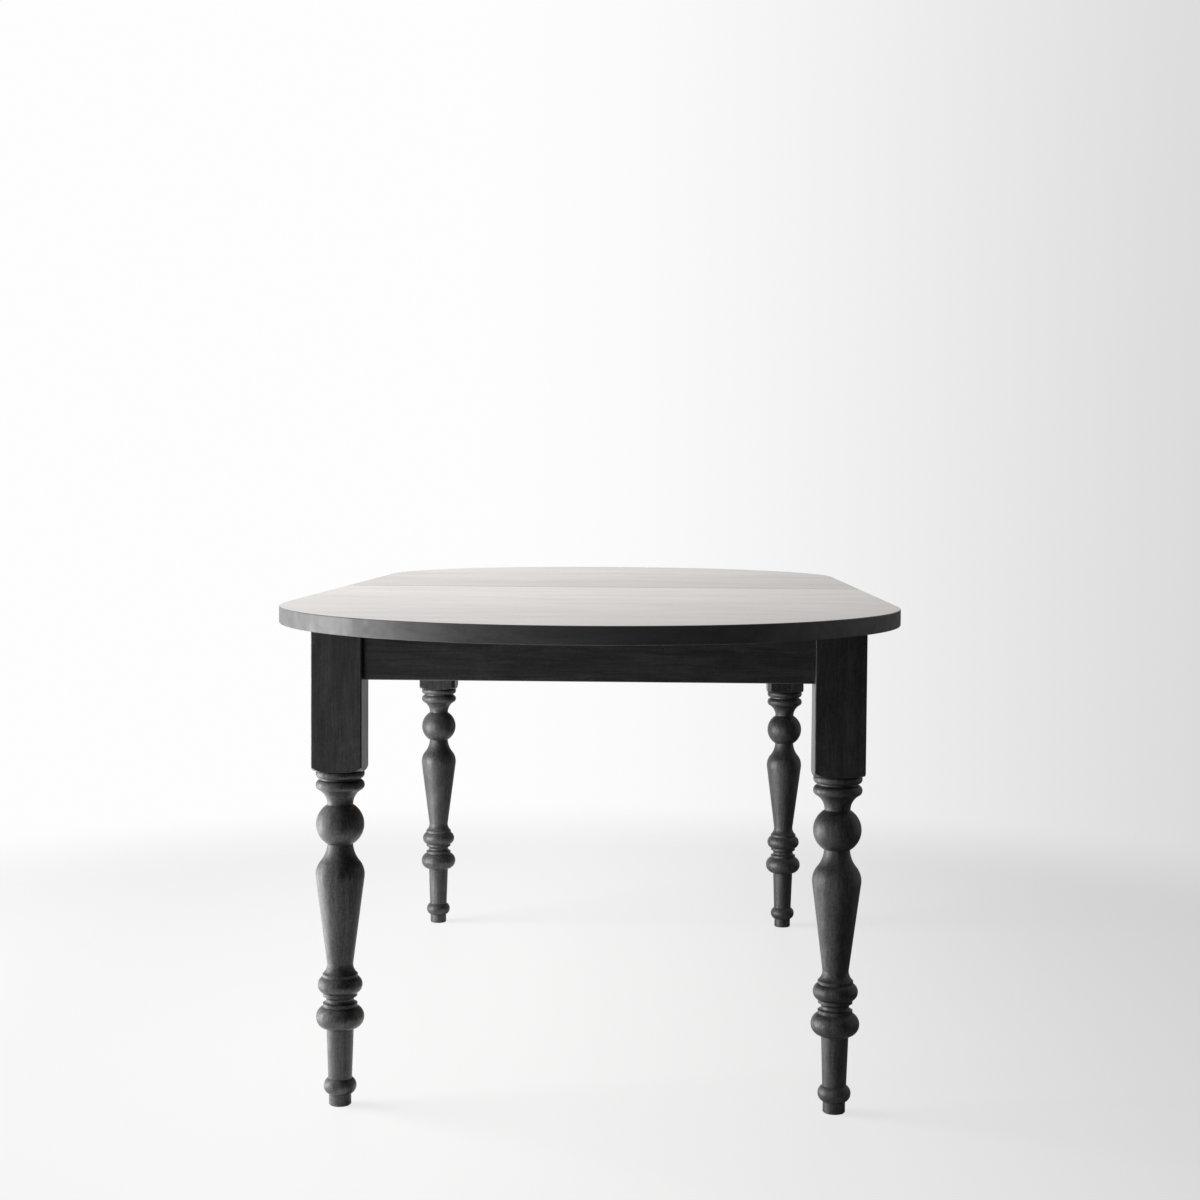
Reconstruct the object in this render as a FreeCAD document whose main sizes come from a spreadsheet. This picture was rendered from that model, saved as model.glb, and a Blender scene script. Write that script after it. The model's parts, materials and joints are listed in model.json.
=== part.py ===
import FreeCAD, Part
import collections
import math
import os
import types

import Sketcher

# Oval extension table on turned legs. Millimetres, +Z up, origin on the floor under the middle.
# The halves meet at a seam across the middle. The front is -Y, and the rear half pulls out along +Y.

SIZES = {
    # The top: straight sides, oval ends of a tip arc and two shoulder arcs
    "table_height": 762.0,
    "top_length": 2280.0,
    "top_width": 936.0,
    "top_thickness": 25.0,
    "end_tip_inset": 42.0,
    "end_shoulder_drop": 112.0,
    "top_edge_radius": 1.5,
    "seam_edge_radius": 1.0,
    "seam_gap": 0.5,
    "extension_travel": 600.0,
    # How far the top stands out past the posts, and the square post at the top of each leg
    "top_side_overhang": 55.5,
    "top_end_overhang": 439.0,
    "post_width": 76.0,
    "post_edge_radius": 2.0,
    "post_flat": 7.0,
    "shoulder_rise": 8.5,
    "shoulder_bulge": 1.5,
    # The turned part of a leg, from the floor up
    "foot_chamfer": 1.5,
    "foot_radius": 16.9,
    "foot_height": 17.0,
    "ankle_bead_radius": 24.9,
    "ankle_bead_height": 24.3,
    "shin_bottom_radius": 18.1,
    "shin_top_radius": 20.6,
    "shin_height": 75.8,
    "ring_radius": 36.6,
    "ring_height": 34.4,
    "ring_step_radius": 26.2,
    "ring_step_height": 5.0,
    "waist_radius": 21.0,
    "waist_height": 10.6,
    "bead_step_radius": 26.0,
    "bead_step_height": 4.6,
    "bead_radius": 33.9,
    "bead_height": 25.0,
    "bead_cap_radius": 26.7,
    "bead_cap_height": 4.5,
    "vase_foot_radius": 19.8,
    "vase_foot_height": 15.4,
    "vase_radius": 36.4,
    "vase_height": 129.0,
    "vase_crown": 0.6,
    "vase_shoulder_radius": 31.0,
    "vase_shoulder_height": 25.8,
    "throat_height": 27.9,
    "neck_radius": 19.4,
    "ball_radius": 36.3,
    "ball_height": 59.8,
    "flare_radius": 31.5,
    "flare_height": 22.2,
    "top_bead_radius": 36.9,
    "top_bead_height": 16.0,
    "top_groove_radius": 31.0,
    "top_groove_height": 3.0,
    "collar_radius": 36.9,
    "collar_foot_radius": 33.9,
    "collar_neck_radius": 35.0,
    "collar_height": 11.2,
    # Aprons, with the groove that the buttons catch in
    "apron_height": 87.0,
    "apron_thickness": 22.0,
    "apron_setback": 16.0,
    "apron_edge_radius": 2.0,
    "groove_width": 8.0,
    "groove_depth": 8.0,
    "groove_drop": 10.0,
    # Corner blocks and the bolts that draw the legs in
    "block_thickness": 25.0,
    "block_gap": 6.0,
    "block_height": 70.0,
    "block_drop": 4.0,
    "bolt_radius": 4.0,
    "bolt_spacing": 36.0,
    "bolt_grip": 40.0,
    "bolt_tail": 5.0,
    "washer_radius": 10.0,
    "washer_thickness": 2.0,
    "nut_across_flats": 13.0,
    "nut_height": 6.5,
    "block_screw_radius": 2.0,
    "block_screw_head_radius": 4.0,
    "block_screw_head_height": 3.0,
    "block_screw_seat": 10.0,
    "block_screw_bite": 14.0,
    "block_screw_spacing": 34.0,
    # Wooden buttons that hold the top down on the aprons
    "button_reach": 30.0,
    "button_width": 28.0,
    "button_height": 20.0,
    "button_gap": 0.5,
    "button_tongue_length": 7.0,
    "button_tongue_thickness": 7.0,
    "side_button_near": 160.0,
    "side_button_corner_gap": 183.0,
    "wood_screw_radius": 2.2,
    "wood_screw_head_radius": 4.5,
    "wood_screw_head_height": 3.0,
    "wood_screw_bite": 14.0,
    # Wooden dovetail slides
    "slide_lock_gap": 10.0,
    "rail_width": 24.0,
    "rail_height": 46.0,
    "rail_end_gap": 23.0,
    "rail_end_step": 80.0,
    "rail_relief": 2.0,
    "rail_gap": 1.0,
    "middle_rail_width": 26.0,
    "dovetail_depth": 8.0,
    "dovetail_mouth": 12.0,
    "dovetail_root": 18.0,
    "dovetail_clearance": 0.4,
    "rail_screw_grip": 20.0,
    "rail_screw_margin": 40.0,
    "stop_peg_radius": 3.0,
    "stop_peg_inset": 10.0,
    "stop_clearance": 0.5,
    # Swinging locks under the seam
    "lock_apron_gap": 37.6,
    "lock_pivot_back": 28.0,
    "keeper_stud_ahead": 28.0,
    "lock_plate_thickness": 2.5,
    "lock_plate_inner_reach": 32.0,
    "lock_plate_outer_reach": 13.0,
    "lock_plate_half_width": 14.0,
    "plate_corner_radius": 4.0,
    "lock_screw_reach": 24.0,
    "lock_screw_spacing": 16.0,
    "lock_screw_radius": 1.8,
    "lock_screw_head_radius": 3.5,
    "lock_screw_head_height": 2.0,
    "lock_screw_bite": 12.0,
    "lever_thickness": 3.0,
    "lever_half_width": 11.0,
    "lever_hook_wall": 7.0,
    "lever_gap": 0.3,
    "lever_tab_drop": 14.0,
    "lever_tab_thickness": 2.5,
    "keeper_front_reach": 10.0,
    "keeper_rear_reach": 36.0,
    "keeper_half_width": 14.0,
    "keeper_screw_reach": 26.0,
    "keeper_screw_spacing": 14.0,
    "stud_radius": 3.4,
    "stud_clearance": 0.5,
    "stud_drop": 5.5,
    "rivet_radius": 3.0,
    "rivet_head_radius": 7.0,
    "rivet_head_height": 2.0,
    "rivet_clearance": 0.05,
    "rivet_head_gap": 0.2,
    # Dowels that line the halves up at the seam
    "pin_radius": 4.5,
    "pin_edge_inset": 138.0,
    "pin_grip": 25.0,
    "pin_reach": 15.0,
    "pin_tip_chamfer": 1.5,
    "pin_clearance": 0.4,
    # Clearances shared by the fasteners, and how far a cut runs past a face
    "bore_clearance": 0.5,
    "head_clearance": 0.75,
    "pilot_clearance": 0.05,
    "cut_overrun": 5.0,
}

# Where a turned form is widest or narrowest, as a share of its height
ANKLE_WIDEST_SHARE = 0.52
RING_WIDEST_SHARE = 0.55
BEAD_WIDEST_SHARE = 0.5
VASE_WIDEST_SHARE = 0.32
THROAT_BEND_SHARE = 0.42
FLARE_BEND_SHARE = 0.55
FLARE_HOLLOW_SHARE = 0.24
THROAT_HOLLOW_SHARE = 0.34
COVE_BEND_SHARE = 0.4
COVE_HOLLOW_SHARE = 0.28
COLLAR_WIDEST_SHARE = 0.5
# Where the end buttons sit on the way from the middle to the slides
END_BUTTON_SHARE = 0.5

RAIL_SCREWS = 4
NUT_SIDES = 6
QUARTER_TURN = 90.0
FULL_TURN = 360.0
INWARD_TURN = 135.0
DIAGONAL = math.sqrt(0.5)
# How far the middle of a rounded edge lies in from its corner, as a share of its radius
EASE_BEND_SHARE = 1 - DIAGONAL
# Sides of each corner in X and Y, in the order that a quarter turn takes them
CORNERS = {
    "front_left": (-1, -1),
    "front_right": (1, -1),
    "rear_right": (1, 1),
    "rear_left": (-1, 1),
}
HANDS = {"left": -1, "right": 1}
HALVES = {"front": 0, "rear": QUARTER_TURN * 2}

Arc = collections.namedtuple("Arc", "through end")


class Size:
    """A length that keeps its number and the sheet formula that gives it."""

    def __init__(self, number, formula):
        self.number = number
        self.formula = formula

    def __add__(self, other):
        return Size(self.number + number(other), "(%s + %s)" % (self.formula, formula(other)))

    def __sub__(self, other):
        return Size(self.number - number(other), "(%s - %s)" % (self.formula, formula(other)))

    def __mul__(self, other):
        return Size(self.number * number(other), "(%s * %s)" % (self.formula, formula(other)))

    def __truediv__(self, other):
        return Size(self.number / number(other), "(%s / %s)" % (self.formula, formula(other)))

    def __rmul__(self, other):
        return self * other

    def __neg__(self):
        return self * -1


def number(size):
    """The plain number of a Size or of a number."""
    return size.number if isinstance(size, Size) else size


def formula(size):
    """The sheet formula of a Size or of a number."""
    return size.formula if isinstance(size, Size) else repr(size)


def root(size):
    """The square root of a Size."""
    return Size(math.sqrt(size.number), "sqrt(%s)" % size.formula)


def make_sheet():
    """The spreadsheet of driving dimensions, and a Size for each of its cells."""
    sheet = doc.addObject("Spreadsheet::Sheet", "Sizes")
    for row, (name, value) in enumerate(SIZES.items(), 1):
        sheet.set("A%d" % row, name)
        sheet.set("B%d" % row, str(value))
        sheet.setAlias("B%d" % row, name)
    doc.recompute()
    return types.SimpleNamespace(**{name: Size(value, "Sizes." + name) for name, value in SIZES.items()})


def bind(thing, path, size):
    """Tie a property to a size's formula."""
    if isinstance(size, Size):
        thing.setExpression(path, size.formula)


def new_body(label, turn=0, at=(0, 0, 0)):
    """An empty body, turned about the upright axis and set down at a place."""
    body = doc.addObject("PartDesign::Body", label)
    body.Label = label
    body.AllowCompound = True
    spot = FreeCAD.Vector(*[number(size) for size in at])
    body.Placement = FreeCAD.Placement(spot, FreeCAD.Rotation(FreeCAD.Vector(0, 0, 1), turn))
    for axis, size in zip("xyz", at):
        bind(body, "Placement.Base." + axis, size)
    pieces.append(body)
    return body


def new_sketch(body, role, shift=(0, 0, 0), turn=0):
    """A sketch on one of the body's planes, shifted in the plane's axes and turned about the upright."""
    sketch = body.newObject("Sketcher::SketchObject", "Sketch")
    plane = next(feature for feature in body.Origin.OriginFeatures if feature.Role == role)
    sketch.AttachmentSupport = [(plane, "")]
    sketch.MapMode = "FlatFace"
    spot = FreeCAD.Vector(*[number(size) for size in shift])
    sketch.AttachmentOffset = FreeCAD.Placement(spot, FreeCAD.Rotation(FreeCAD.Vector(0, 1, 0), turn))
    for axis, size in zip("xyz", shift):
        bind(sketch, "AttachmentOffset.Base." + axis, size)
    return sketch


def flat_at(body, height):
    """A level sketch at a height."""
    return new_sketch(body, "XY_Plane", (0, 0, height))


def across_at(body, place):
    """An upright sketch square to the length, at a place along Y."""
    return new_sketch(body, "XZ_Plane", (0, 0, -place))


def along_at(body, place):
    """An upright sketch square to the width, at a place along X."""
    return new_sketch(body, "YZ_Plane", (0, 0, place))


def diagonal_at(body, distance):
    """An upright sketch that faces inward along a corner's diagonal, at a distance from the leg's axis."""
    return new_sketch(body, "XZ_Plane", (distance * DIAGONAL, 0, -distance * DIAGONAL), INWARD_TURN)


def vector(point):
    """A sketch point as a vector."""
    return FreeCAD.Vector(number(point[0]), number(point[1]), 0)


def constrain(sketch, wanted):
    """Add constraints together and tie each to its size."""
    first = sketch.ConstraintCount
    sketch.addConstraint([constraint for constraint, size in wanted])
    for index, (constraint, size) in enumerate(wanted, first):
        bind(sketch, "Constraints[%d]" % index, size)


def held(geometry, place, point):
    """The two constraints that hold a point of the sketch where its sizes say."""
    return [(Sketcher.Constraint(kind, -1, 1, geometry, place, number(size)), size)
            for kind, size in zip(("DistanceX", "DistanceY"), point)]


def arc_through(start, through, end):
    """An arc on three points, and whether it runs from its start to its end."""
    points = [vector(point) for point in (start, through, end)]
    curve = Part.Circle(*points)
    centre = curve.Center
    angles = [math.atan2(point.y - centre.y, point.x - centre.x) for point in points]
    forward = (angles[1] - angles[0]) % (2 * math.pi) < (angles[2] - angles[0]) % (2 * math.pi)
    low, high = (angles[0], angles[2]) if forward else (angles[2], angles[0])
    circle = Part.Circle(centre, FreeCAD.Vector(0, 0, 1), curve.Radius)
    return Part.ArcOfCircle(circle, low, low + (high - low) % (2 * math.pi)), forward


def outline(sketch, start, *stretches):
    """Draw a closed outline from its start. A point ends a straight stretch, an Arc a round one."""
    corners = [start] + [stretch.end if isinstance(stretch, Arc) else stretch for stretch in stretches]
    wanted = []
    ends = []
    for corner, stretch in zip(corners, stretches):
        if isinstance(stretch, Arc):
            shape, forward = arc_through(corner, stretch.through, stretch.end)
            line = sketch.addGeometry(shape)
            guide = sketch.addGeometry(Part.Point(vector(stretch.through)), True)
            wanted += held(guide, 1, stretch.through)
            wanted.append((Sketcher.Constraint("PointOnObject", guide, 1, line), None))
        else:
            forward = True
            line = sketch.addGeometry(Part.LineSegment(vector(corner), vector(stretch)))
        ends.append((line, 1, 2) if forward else (line, 2, 1))
        wanted += held(line, ends[-1][1], corner)
    for (line, first, last), (other, other_first, other_last) in zip(ends, ends[1:] + ends[:1]):
        wanted.append((Sketcher.Constraint("Coincident", line, last, other, other_first), None))
    constrain(sketch, wanted)
    return sketch


def circles(sketch, radius, points):
    """Draw one circle of the same radius at each point."""
    wanted = []
    for point in points:
        circle = sketch.addGeometry(Part.Circle(vector(point), FreeCAD.Vector(0, 0, 1), number(radius)))
        wanted += held(circle, 3, point)
        wanted.append((Sketcher.Constraint("Radius", circle, number(radius)), radius))
    constrain(sketch, wanted)
    return sketch


def rectangle(sketch, low, high):
    """Draw a rectangle between two corners."""
    return outline(sketch, low, (high[0], low[1]), high, (low[0], high[1]), low)


def rounded_plate(sketch, low, high):
    """Draw a plate with rounded corners between its lower left and upper right."""
    (left, bottom), (right, top) = low, high
    radius = S.plate_corner_radius
    bend = radius * EASE_BEND_SHARE
    return outline(
        sketch,
        (left + radius, bottom),
        (right - radius, bottom),
        Arc((right - bend, bottom + bend), (right, bottom + radius)),
        (right, top - radius),
        Arc((right - bend, top - bend), (right - radius, top)),
        (left + radius, top),
        Arc((left + bend, top - bend), (left, top - radius)),
        (left, bottom + radius),
        Arc((left + bend, bottom + bend), (left + radius, bottom)))


def pad(body, sketch, length, back=False):
    """Thicken a sketch towards its normal, or away from it."""
    feature = body.newObject("PartDesign::Pad", "Pad")
    feature.Profile = sketch
    feature.Length = number(length)
    feature.Reversed = back
    bind(feature, "Length", length)
    return feature


def cut(body, sketch, length, back=False):
    """Cut a sketch into the body towards its normal, or away from it, and see that it took wood off."""
    doc.recompute()
    before = body.Shape.Volume
    feature = body.newObject("PartDesign::Pocket", "Pocket")
    feature.Profile = sketch
    feature.Length = number(length)
    feature.Reversed = not back
    bind(feature, "Length", length)
    doc.recompute()
    if not body.Shape.Volume < before:
        raise RuntimeError("a cut in %s takes nothing off" % body.Label)
    return feature


def turned(body, sketch, kind="PartDesign::Revolution"):
    """Turn a sketch about the body's upright axis, as a solid or as a cut."""
    feature = body.newObject(kind, "Turned")
    feature.Profile = sketch
    feature.ReferenceAxis = (sketch, ["V_Axis"])
    feature.Angle = FULL_TURN
    return feature


def rounded(body, feature, radius, wanted, kind="PartDesign::Fillet"):
    """Round or bevel the edges of a feature that a test picks."""
    doc.recompute()
    names = ["Edge%d" % index for index, edge in enumerate(feature.Shape.Edges, 1) if wanted(edge)]
    dressing = body.newObject(kind, "Edges")
    dressing.Base = (feature, names)
    size = "Radius" if kind.endswith("Fillet") else "Size"
    setattr(dressing, size, number(radius))
    bind(dressing, size, radius)
    return dressing


doc = FreeCAD.newDocument("oval_extension_table")
pieces = []
S = make_sheet()

# Places that several pieces share
UNDERSIDE = S.table_height - S.top_thickness
POST_HALF = S.post_width / 2
LEG_X = S.top_width / 2 - S.top_side_overhang - POST_HALF
LEG_Y = S.top_length / 2 - S.top_end_overhang - POST_HALF
SEAM = S.seam_gap / 2
OVERRUN = S.cut_overrun
# Inner faces of the aprons, measured inward from a leg's axis and outward from the middle
APRON_INNER = S.apron_setback + S.apron_thickness - POST_HALF
SIDE_INNER = LEG_X - APRON_INNER
END_INNER = LEG_Y - APRON_INNER
APRON_BOTTOM = UNDERSIDE - S.apron_height
GROOVE_TOP = UNDERSIDE - S.groove_drop
# Corner block faces, as the sum of the two inward distances from the leg's axis
BLOCK_OUTER = S.post_width - S.post_flat + S.block_gap / DIAGONAL
BLOCK_INNER = BLOCK_OUTER + S.block_thickness / DIAGONAL
BLOCK_SCREW = (BLOCK_OUTER + BLOCK_INNER) / 2 - APRON_INNER
BLOCK_TOP = UNDERSIDE - S.block_drop
BLOCK_MIDDLE = BLOCK_TOP - S.block_height / 2
BOLT_POINTS = [(0, BLOCK_MIDDLE + side * S.bolt_spacing / 2) for side in (-1, 1)]
BLOCK_SCREW_HEIGHTS = [BLOCK_MIDDLE + side * S.block_screw_spacing / 2 for side in (-1, 1)]
BLOCK_SCREW_POINTS = [(BLOCK_SCREW, z) for z in BLOCK_SCREW_HEIGHTS]
# Locks: the swing of a lever's hook, its tip, and the pivot that parks the tip clear of the apron
STUD_SWING = S.lock_pivot_back + S.keeper_stud_ahead
HOOK_HALF = S.stud_radius + S.stud_clearance
LEVER_TIP = STUD_SWING + HOOK_HALF + S.lever_hook_wall
LOCK_X = SIDE_INNER - S.lock_apron_gap - LEVER_TIP
# Slides: a fixed rail's offset in its set, half the set's width, and its middle, inward of the locks
RAIL_OFFSET = (S.middle_rail_width + S.rail_width) / 2 + S.rail_gap
SLIDE_HALF = RAIL_OFFSET + S.rail_width / 2
SLIDE_X = LOCK_X - S.lock_plate_inner_reach - S.slide_lock_gap - SLIDE_HALF
RAIL_REACH = END_INNER - S.rail_end_gap
RAIL_LENGTH = RAIL_REACH * 2 - S.rail_end_step
RAIL_BOTTOM = UNDERSIDE - S.rail_height
RAIL_MIDDLE = (UNDERSIDE - S.rail_relief + RAIL_BOTTOM) / 2
RAIL_SCREW_FIRST = S.rail_screw_margin - RAIL_REACH
RAIL_SCREW_STEP = (RAIL_REACH - S.rail_screw_margin * 2) / (RAIL_SCREWS - 1)
RAIL_SCREW_PLACES = [RAIL_SCREW_FIRST + RAIL_SCREW_STEP * step for step in range(RAIL_SCREWS)]
RAIL_CENTRES = [-SLIDE_X - RAIL_OFFSET, SLIDE_X - RAIL_OFFSET]
RAIL_SCREW_POINTS = [(x, y) for x in RAIL_CENTRES for y in RAIL_SCREW_PLACES]
# Buttons: the middle of each screw, seen in the front half
SIDE_BUTTON_X = SIDE_INNER - S.button_reach / 2
SIDE_BUTTON_PLACES = [-S.side_button_near, S.side_button_corner_gap - LEG_Y]
END_BUTTON_X = (SLIDE_X - SLIDE_HALF) * END_BUTTON_SHARE
END_BUTTON_Y = S.button_reach / 2 - END_INNER
BUTTON_POINTS = [(side * SIDE_BUTTON_X, y) for side in (-1, 1) for y in SIDE_BUTTON_PLACES]
BUTTON_POINTS += [(side * END_BUTTON_X, END_BUTTON_Y) for side in (-1, 1)]
BUTTON_TOP = UNDERSIDE - S.button_gap
BUTTON_BOTTOM = BUTTON_TOP - S.button_height
# Levels of a lock below the top, its pivots and studs, and the screws of its plate and keeper
PLATE_BOTTOM = UNDERSIDE - S.lock_plate_thickness
LEVER_TOP = PLATE_BOTTOM - S.lever_gap
LEVER_BOTTOM = LEVER_TOP - S.lever_thickness
LOCK_PIVOTS = [(side * LOCK_X, -S.lock_pivot_back) for side in (-1, 1)]
KEEPER_STUDS = [(side * LOCK_X, S.keeper_stud_ahead) for side in (-1, 1)]
PLATE_SCREW_X = LOCK_X - S.lock_screw_reach
PLATE_SCREW_POINTS = [(side * PLATE_SCREW_X, -S.lock_pivot_back + end * S.lock_screw_spacing / 2)
                      for side in (-1, 1) for end in (-1, 1)]
KEEPER_SCREW_POINTS = [(x + end * S.keeper_screw_spacing / 2, y + S.keeper_screw_reach)
                       for x, y in KEEPER_STUDS for end in (-1, 1)]
PIN_HEIGHT = UNDERSIDE + S.top_thickness / 2
PIN_X = S.top_width / 2 - S.pin_edge_inset
PIN_POINTS = [(side * PIN_X, PIN_HEIGHT) for side in (-1, 0, 1)]


def corner_place(corner):
    """The turn of a corner's pieces from the front left corner, and the foot of its leg's axis."""
    side_x, side_y = CORNERS[corner]
    return QUARTER_TURN * list(CORNERS).index(corner), (side_x * LEG_X, side_y * LEG_Y, 0)


def make_top(half, pin_hole_radius, pin_hole_depth, lock_points):
    """One half of the top: an oval board, round-edged, with blind holes for pins and screws."""
    body = new_body("top_" + half, HALVES[half])
    side = S.top_width / 2
    tip = side - S.end_tip_inset
    drop = S.end_shoulder_drop
    shoulder = S.top_length / 2 - tip - drop
    # The shoulder arc leaves the straight side square to the width and meets the tip arc on one tangent
    radius = (side * side + drop * drop - tip * tip) / (S.end_tip_inset * 2)
    between = radius - tip
    lean = radius - side
    meet_x = tip * lean / between
    meet_y = -(shoulder + drop + tip * drop / between)
    # The middle of the shoulder arc, halfway between its ends as its centre sees them
    span_x = between + lean
    span = root(span_x * span_x + drop * drop)
    swell_x = radius * span_x / span - lean
    swell_y = -(shoulder + radius * drop / span)
    plan = outline(
        flat_at(body, UNDERSIDE),
        (-side, -SEAM),
        (-side, -shoulder),
        Arc((-swell_x, swell_y), (-meet_x, meet_y)),
        Arc((0, -S.top_length / 2), (meet_x, meet_y)),
        Arc((swell_x, swell_y), (side, -shoulder)),
        (side, -SEAM),
        (-side, -SEAM))
    board = pad(body, plan, S.top_thickness)
    seam_face = -number(SEAM)

    def on_rim(edge):
        return edge.BoundBox.ZLength < number(OVERRUN) and edge.BoundBox.YMin < seam_face - number(OVERRUN)

    def on_seam(edge):
        return edge.BoundBox.YMin > seam_face - number(S.seam_edge_radius)

    rim = rounded(body, board, S.top_edge_radius, on_rim)
    rounded(body, rim, S.seam_edge_radius, on_seam)
    cut(body, circles(across_at(body, -SEAM), pin_hole_radius, PIN_POINTS), pin_hole_depth)
    wood_screws = RAIL_SCREW_POINTS + BUTTON_POINTS
    pilot = S.wood_screw_radius + S.pilot_clearance
    cut(body, circles(flat_at(body, UNDERSIDE), pilot, wood_screws), S.wood_screw_bite + S.pilot_clearance)
    pilot = S.lock_screw_radius + S.pilot_clearance
    cut(body, circles(flat_at(body, UNDERSIDE), pilot, lock_points), S.lock_screw_bite + S.pilot_clearance)


def turned_outline(sketch):
    """The turned part of a leg, from the foot to the collar under the post, as half a section."""
    ankle = S.foot_height
    shin = ankle + S.ankle_bead_height
    ring = shin + S.shin_height
    ring_step = ring + S.ring_height
    waist = ring_step + S.ring_step_height
    bead_step = waist + S.waist_height
    bead = bead_step + S.bead_step_height
    cap = bead + S.bead_height
    cove = cap + S.bead_cap_height
    vase = cove + S.vase_foot_height
    crown = vase + S.vase_height
    throat = crown + S.vase_shoulder_height
    ball = throat + S.throat_height
    flare = ball + S.ball_height
    top_bead = flare + S.flare_height
    groove = top_bead + S.top_bead_height
    collar = groove + S.top_groove_height
    post = collar + S.collar_height
    cove_hollow = S.vase_foot_radius + (S.bead_cap_radius - S.vase_foot_radius) * COVE_HOLLOW_SHARE
    throat_hollow = S.neck_radius + (S.vase_shoulder_radius - S.neck_radius) * THROAT_HOLLOW_SHARE
    flare_hollow = S.neck_radius + (S.flare_radius - S.neck_radius) * FLARE_HOLLOW_SHARE
    outline(
        sketch,
        (0, 0),
        (S.foot_radius - S.foot_chamfer, 0),
        (S.foot_radius, S.foot_chamfer),
        (S.foot_radius, ankle),
        Arc((S.ankle_bead_radius, ankle + S.ankle_bead_height * ANKLE_WIDEST_SHARE),
            (S.shin_bottom_radius, shin)),
        (S.shin_top_radius, ring),
        Arc((S.ring_radius, ring + S.ring_height * RING_WIDEST_SHARE), (S.ring_step_radius, ring_step)),
        (S.ring_step_radius, waist),
        Arc((S.waist_radius, waist + S.waist_height / 2), (S.bead_step_radius, bead_step)),
        (S.bead_step_radius, bead),
        Arc((S.bead_radius, bead + S.bead_height * BEAD_WIDEST_SHARE), (S.bead_cap_radius, cap)),
        (S.bead_cap_radius, cove),
        Arc((cove_hollow, cove + S.vase_foot_height * COVE_BEND_SHARE), (S.vase_foot_radius, vase)),
        (S.vase_radius, crown),
        Arc((S.vase_radius + S.vase_crown, crown + S.vase_shoulder_height * VASE_WIDEST_SHARE),
            (S.vase_shoulder_radius, throat)),
        Arc((throat_hollow, throat + S.throat_height * THROAT_BEND_SHARE), (S.neck_radius, ball)),
        Arc((S.ball_radius, ball + S.ball_height / 2), (S.neck_radius, flare)),
        Arc((flare_hollow, flare + S.flare_height * FLARE_BEND_SHARE), (S.flare_radius, top_bead)),
        Arc((S.top_bead_radius, top_bead + S.top_bead_height / 2), (S.top_groove_radius, groove)),
        (S.top_groove_radius, collar),
        (S.collar_foot_radius, collar),
        Arc(
            (S.collar_radius, collar + S.collar_height * COLLAR_WIDEST_SHARE),
            (S.collar_neck_radius, post),
        ),
        (0, post),
        (0, 0))
    return post


def make_leg(corner):
    """A turned leg with a square post: eased arrises, a flat for the bolts, a turned shoulder below."""
    body = new_body("leg_" + corner, *corner_place(corner))
    profile = new_sketch(body, "XZ_Plane")
    post = turned_outline(profile)
    turned(body, profile)
    half = POST_HALF
    ease = half - S.post_edge_radius
    bend = half - S.post_edge_radius * EASE_BEND_SHARE
    flat = half - S.post_flat
    square = outline(
        flat_at(body, post),
        (-ease, -half),
        (ease, -half),
        Arc((bend, -bend), (half, -ease)),
        (half, flat),
        (flat, half),
        (-ease, half),
        Arc((-bend, bend), (-half, ease)),
        (-half, -ease),
        Arc((-bend, -bend), (-ease, -half)))
    pad(body, square, UNDERSIDE - post)
    reach = half / DIAGONAL
    middle = (S.collar_radius + reach) / 2
    shoulder = outline(
        new_sketch(body, "XZ_Plane"),
        (S.collar_radius, post),
        Arc((middle + S.shoulder_bulge, post + S.shoulder_rise / 2 - S.shoulder_bulge),
            (reach, post + S.shoulder_rise)),
        (reach + OVERRUN, post + S.shoulder_rise),
        (reach + OVERRUN, post - OVERRUN),
        (S.collar_radius, post - OVERRUN),
        (S.collar_radius, post))
    turned(body, shoulder, "PartDesign::Groove")
    flat_distance = (S.post_width - S.post_flat) * DIAGONAL
    start = flat_distance - S.bolt_grip - S.pilot_clearance
    bores = circles(diagonal_at(body, start), S.bolt_radius + S.pilot_clearance, BOLT_POINTS)
    cut(body, bores, S.bolt_grip + OVERRUN)


def make_corner_block(corner):
    """A mitred block across the corner, bored for the bolts and counterbored for the screws at its ends."""
    body = new_body("corner_block_" + corner, *corner_place(corner))
    face = APRON_INNER
    plan = outline(
        flat_at(body, BLOCK_TOP),
        (face, BLOCK_OUTER - face),
        (BLOCK_OUTER - face, face),
        (BLOCK_INNER - face, face),
        (face, BLOCK_INNER - face),
        (face, BLOCK_OUTER - face))
    pad(body, plan, S.block_height, back=True)
    start = BLOCK_OUTER * DIAGONAL - OVERRUN
    bores = circles(diagonal_at(body, start), S.bolt_radius + S.bore_clearance, BOLT_POINTS)
    cut(body, bores, S.block_thickness + OVERRUN * 2)
    for radius, start in ((S.block_screw_radius + S.bore_clearance, face),
                          (S.block_screw_head_radius + S.head_clearance, face + S.block_screw_seat)):
        cut(body, circles(along_at(body, start), radius, BLOCK_SCREW_POINTS), BLOCK_INNER)
        cut(body, circles(across_at(body, start), radius, BLOCK_SCREW_POINTS), BLOCK_INNER, back=True)


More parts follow.
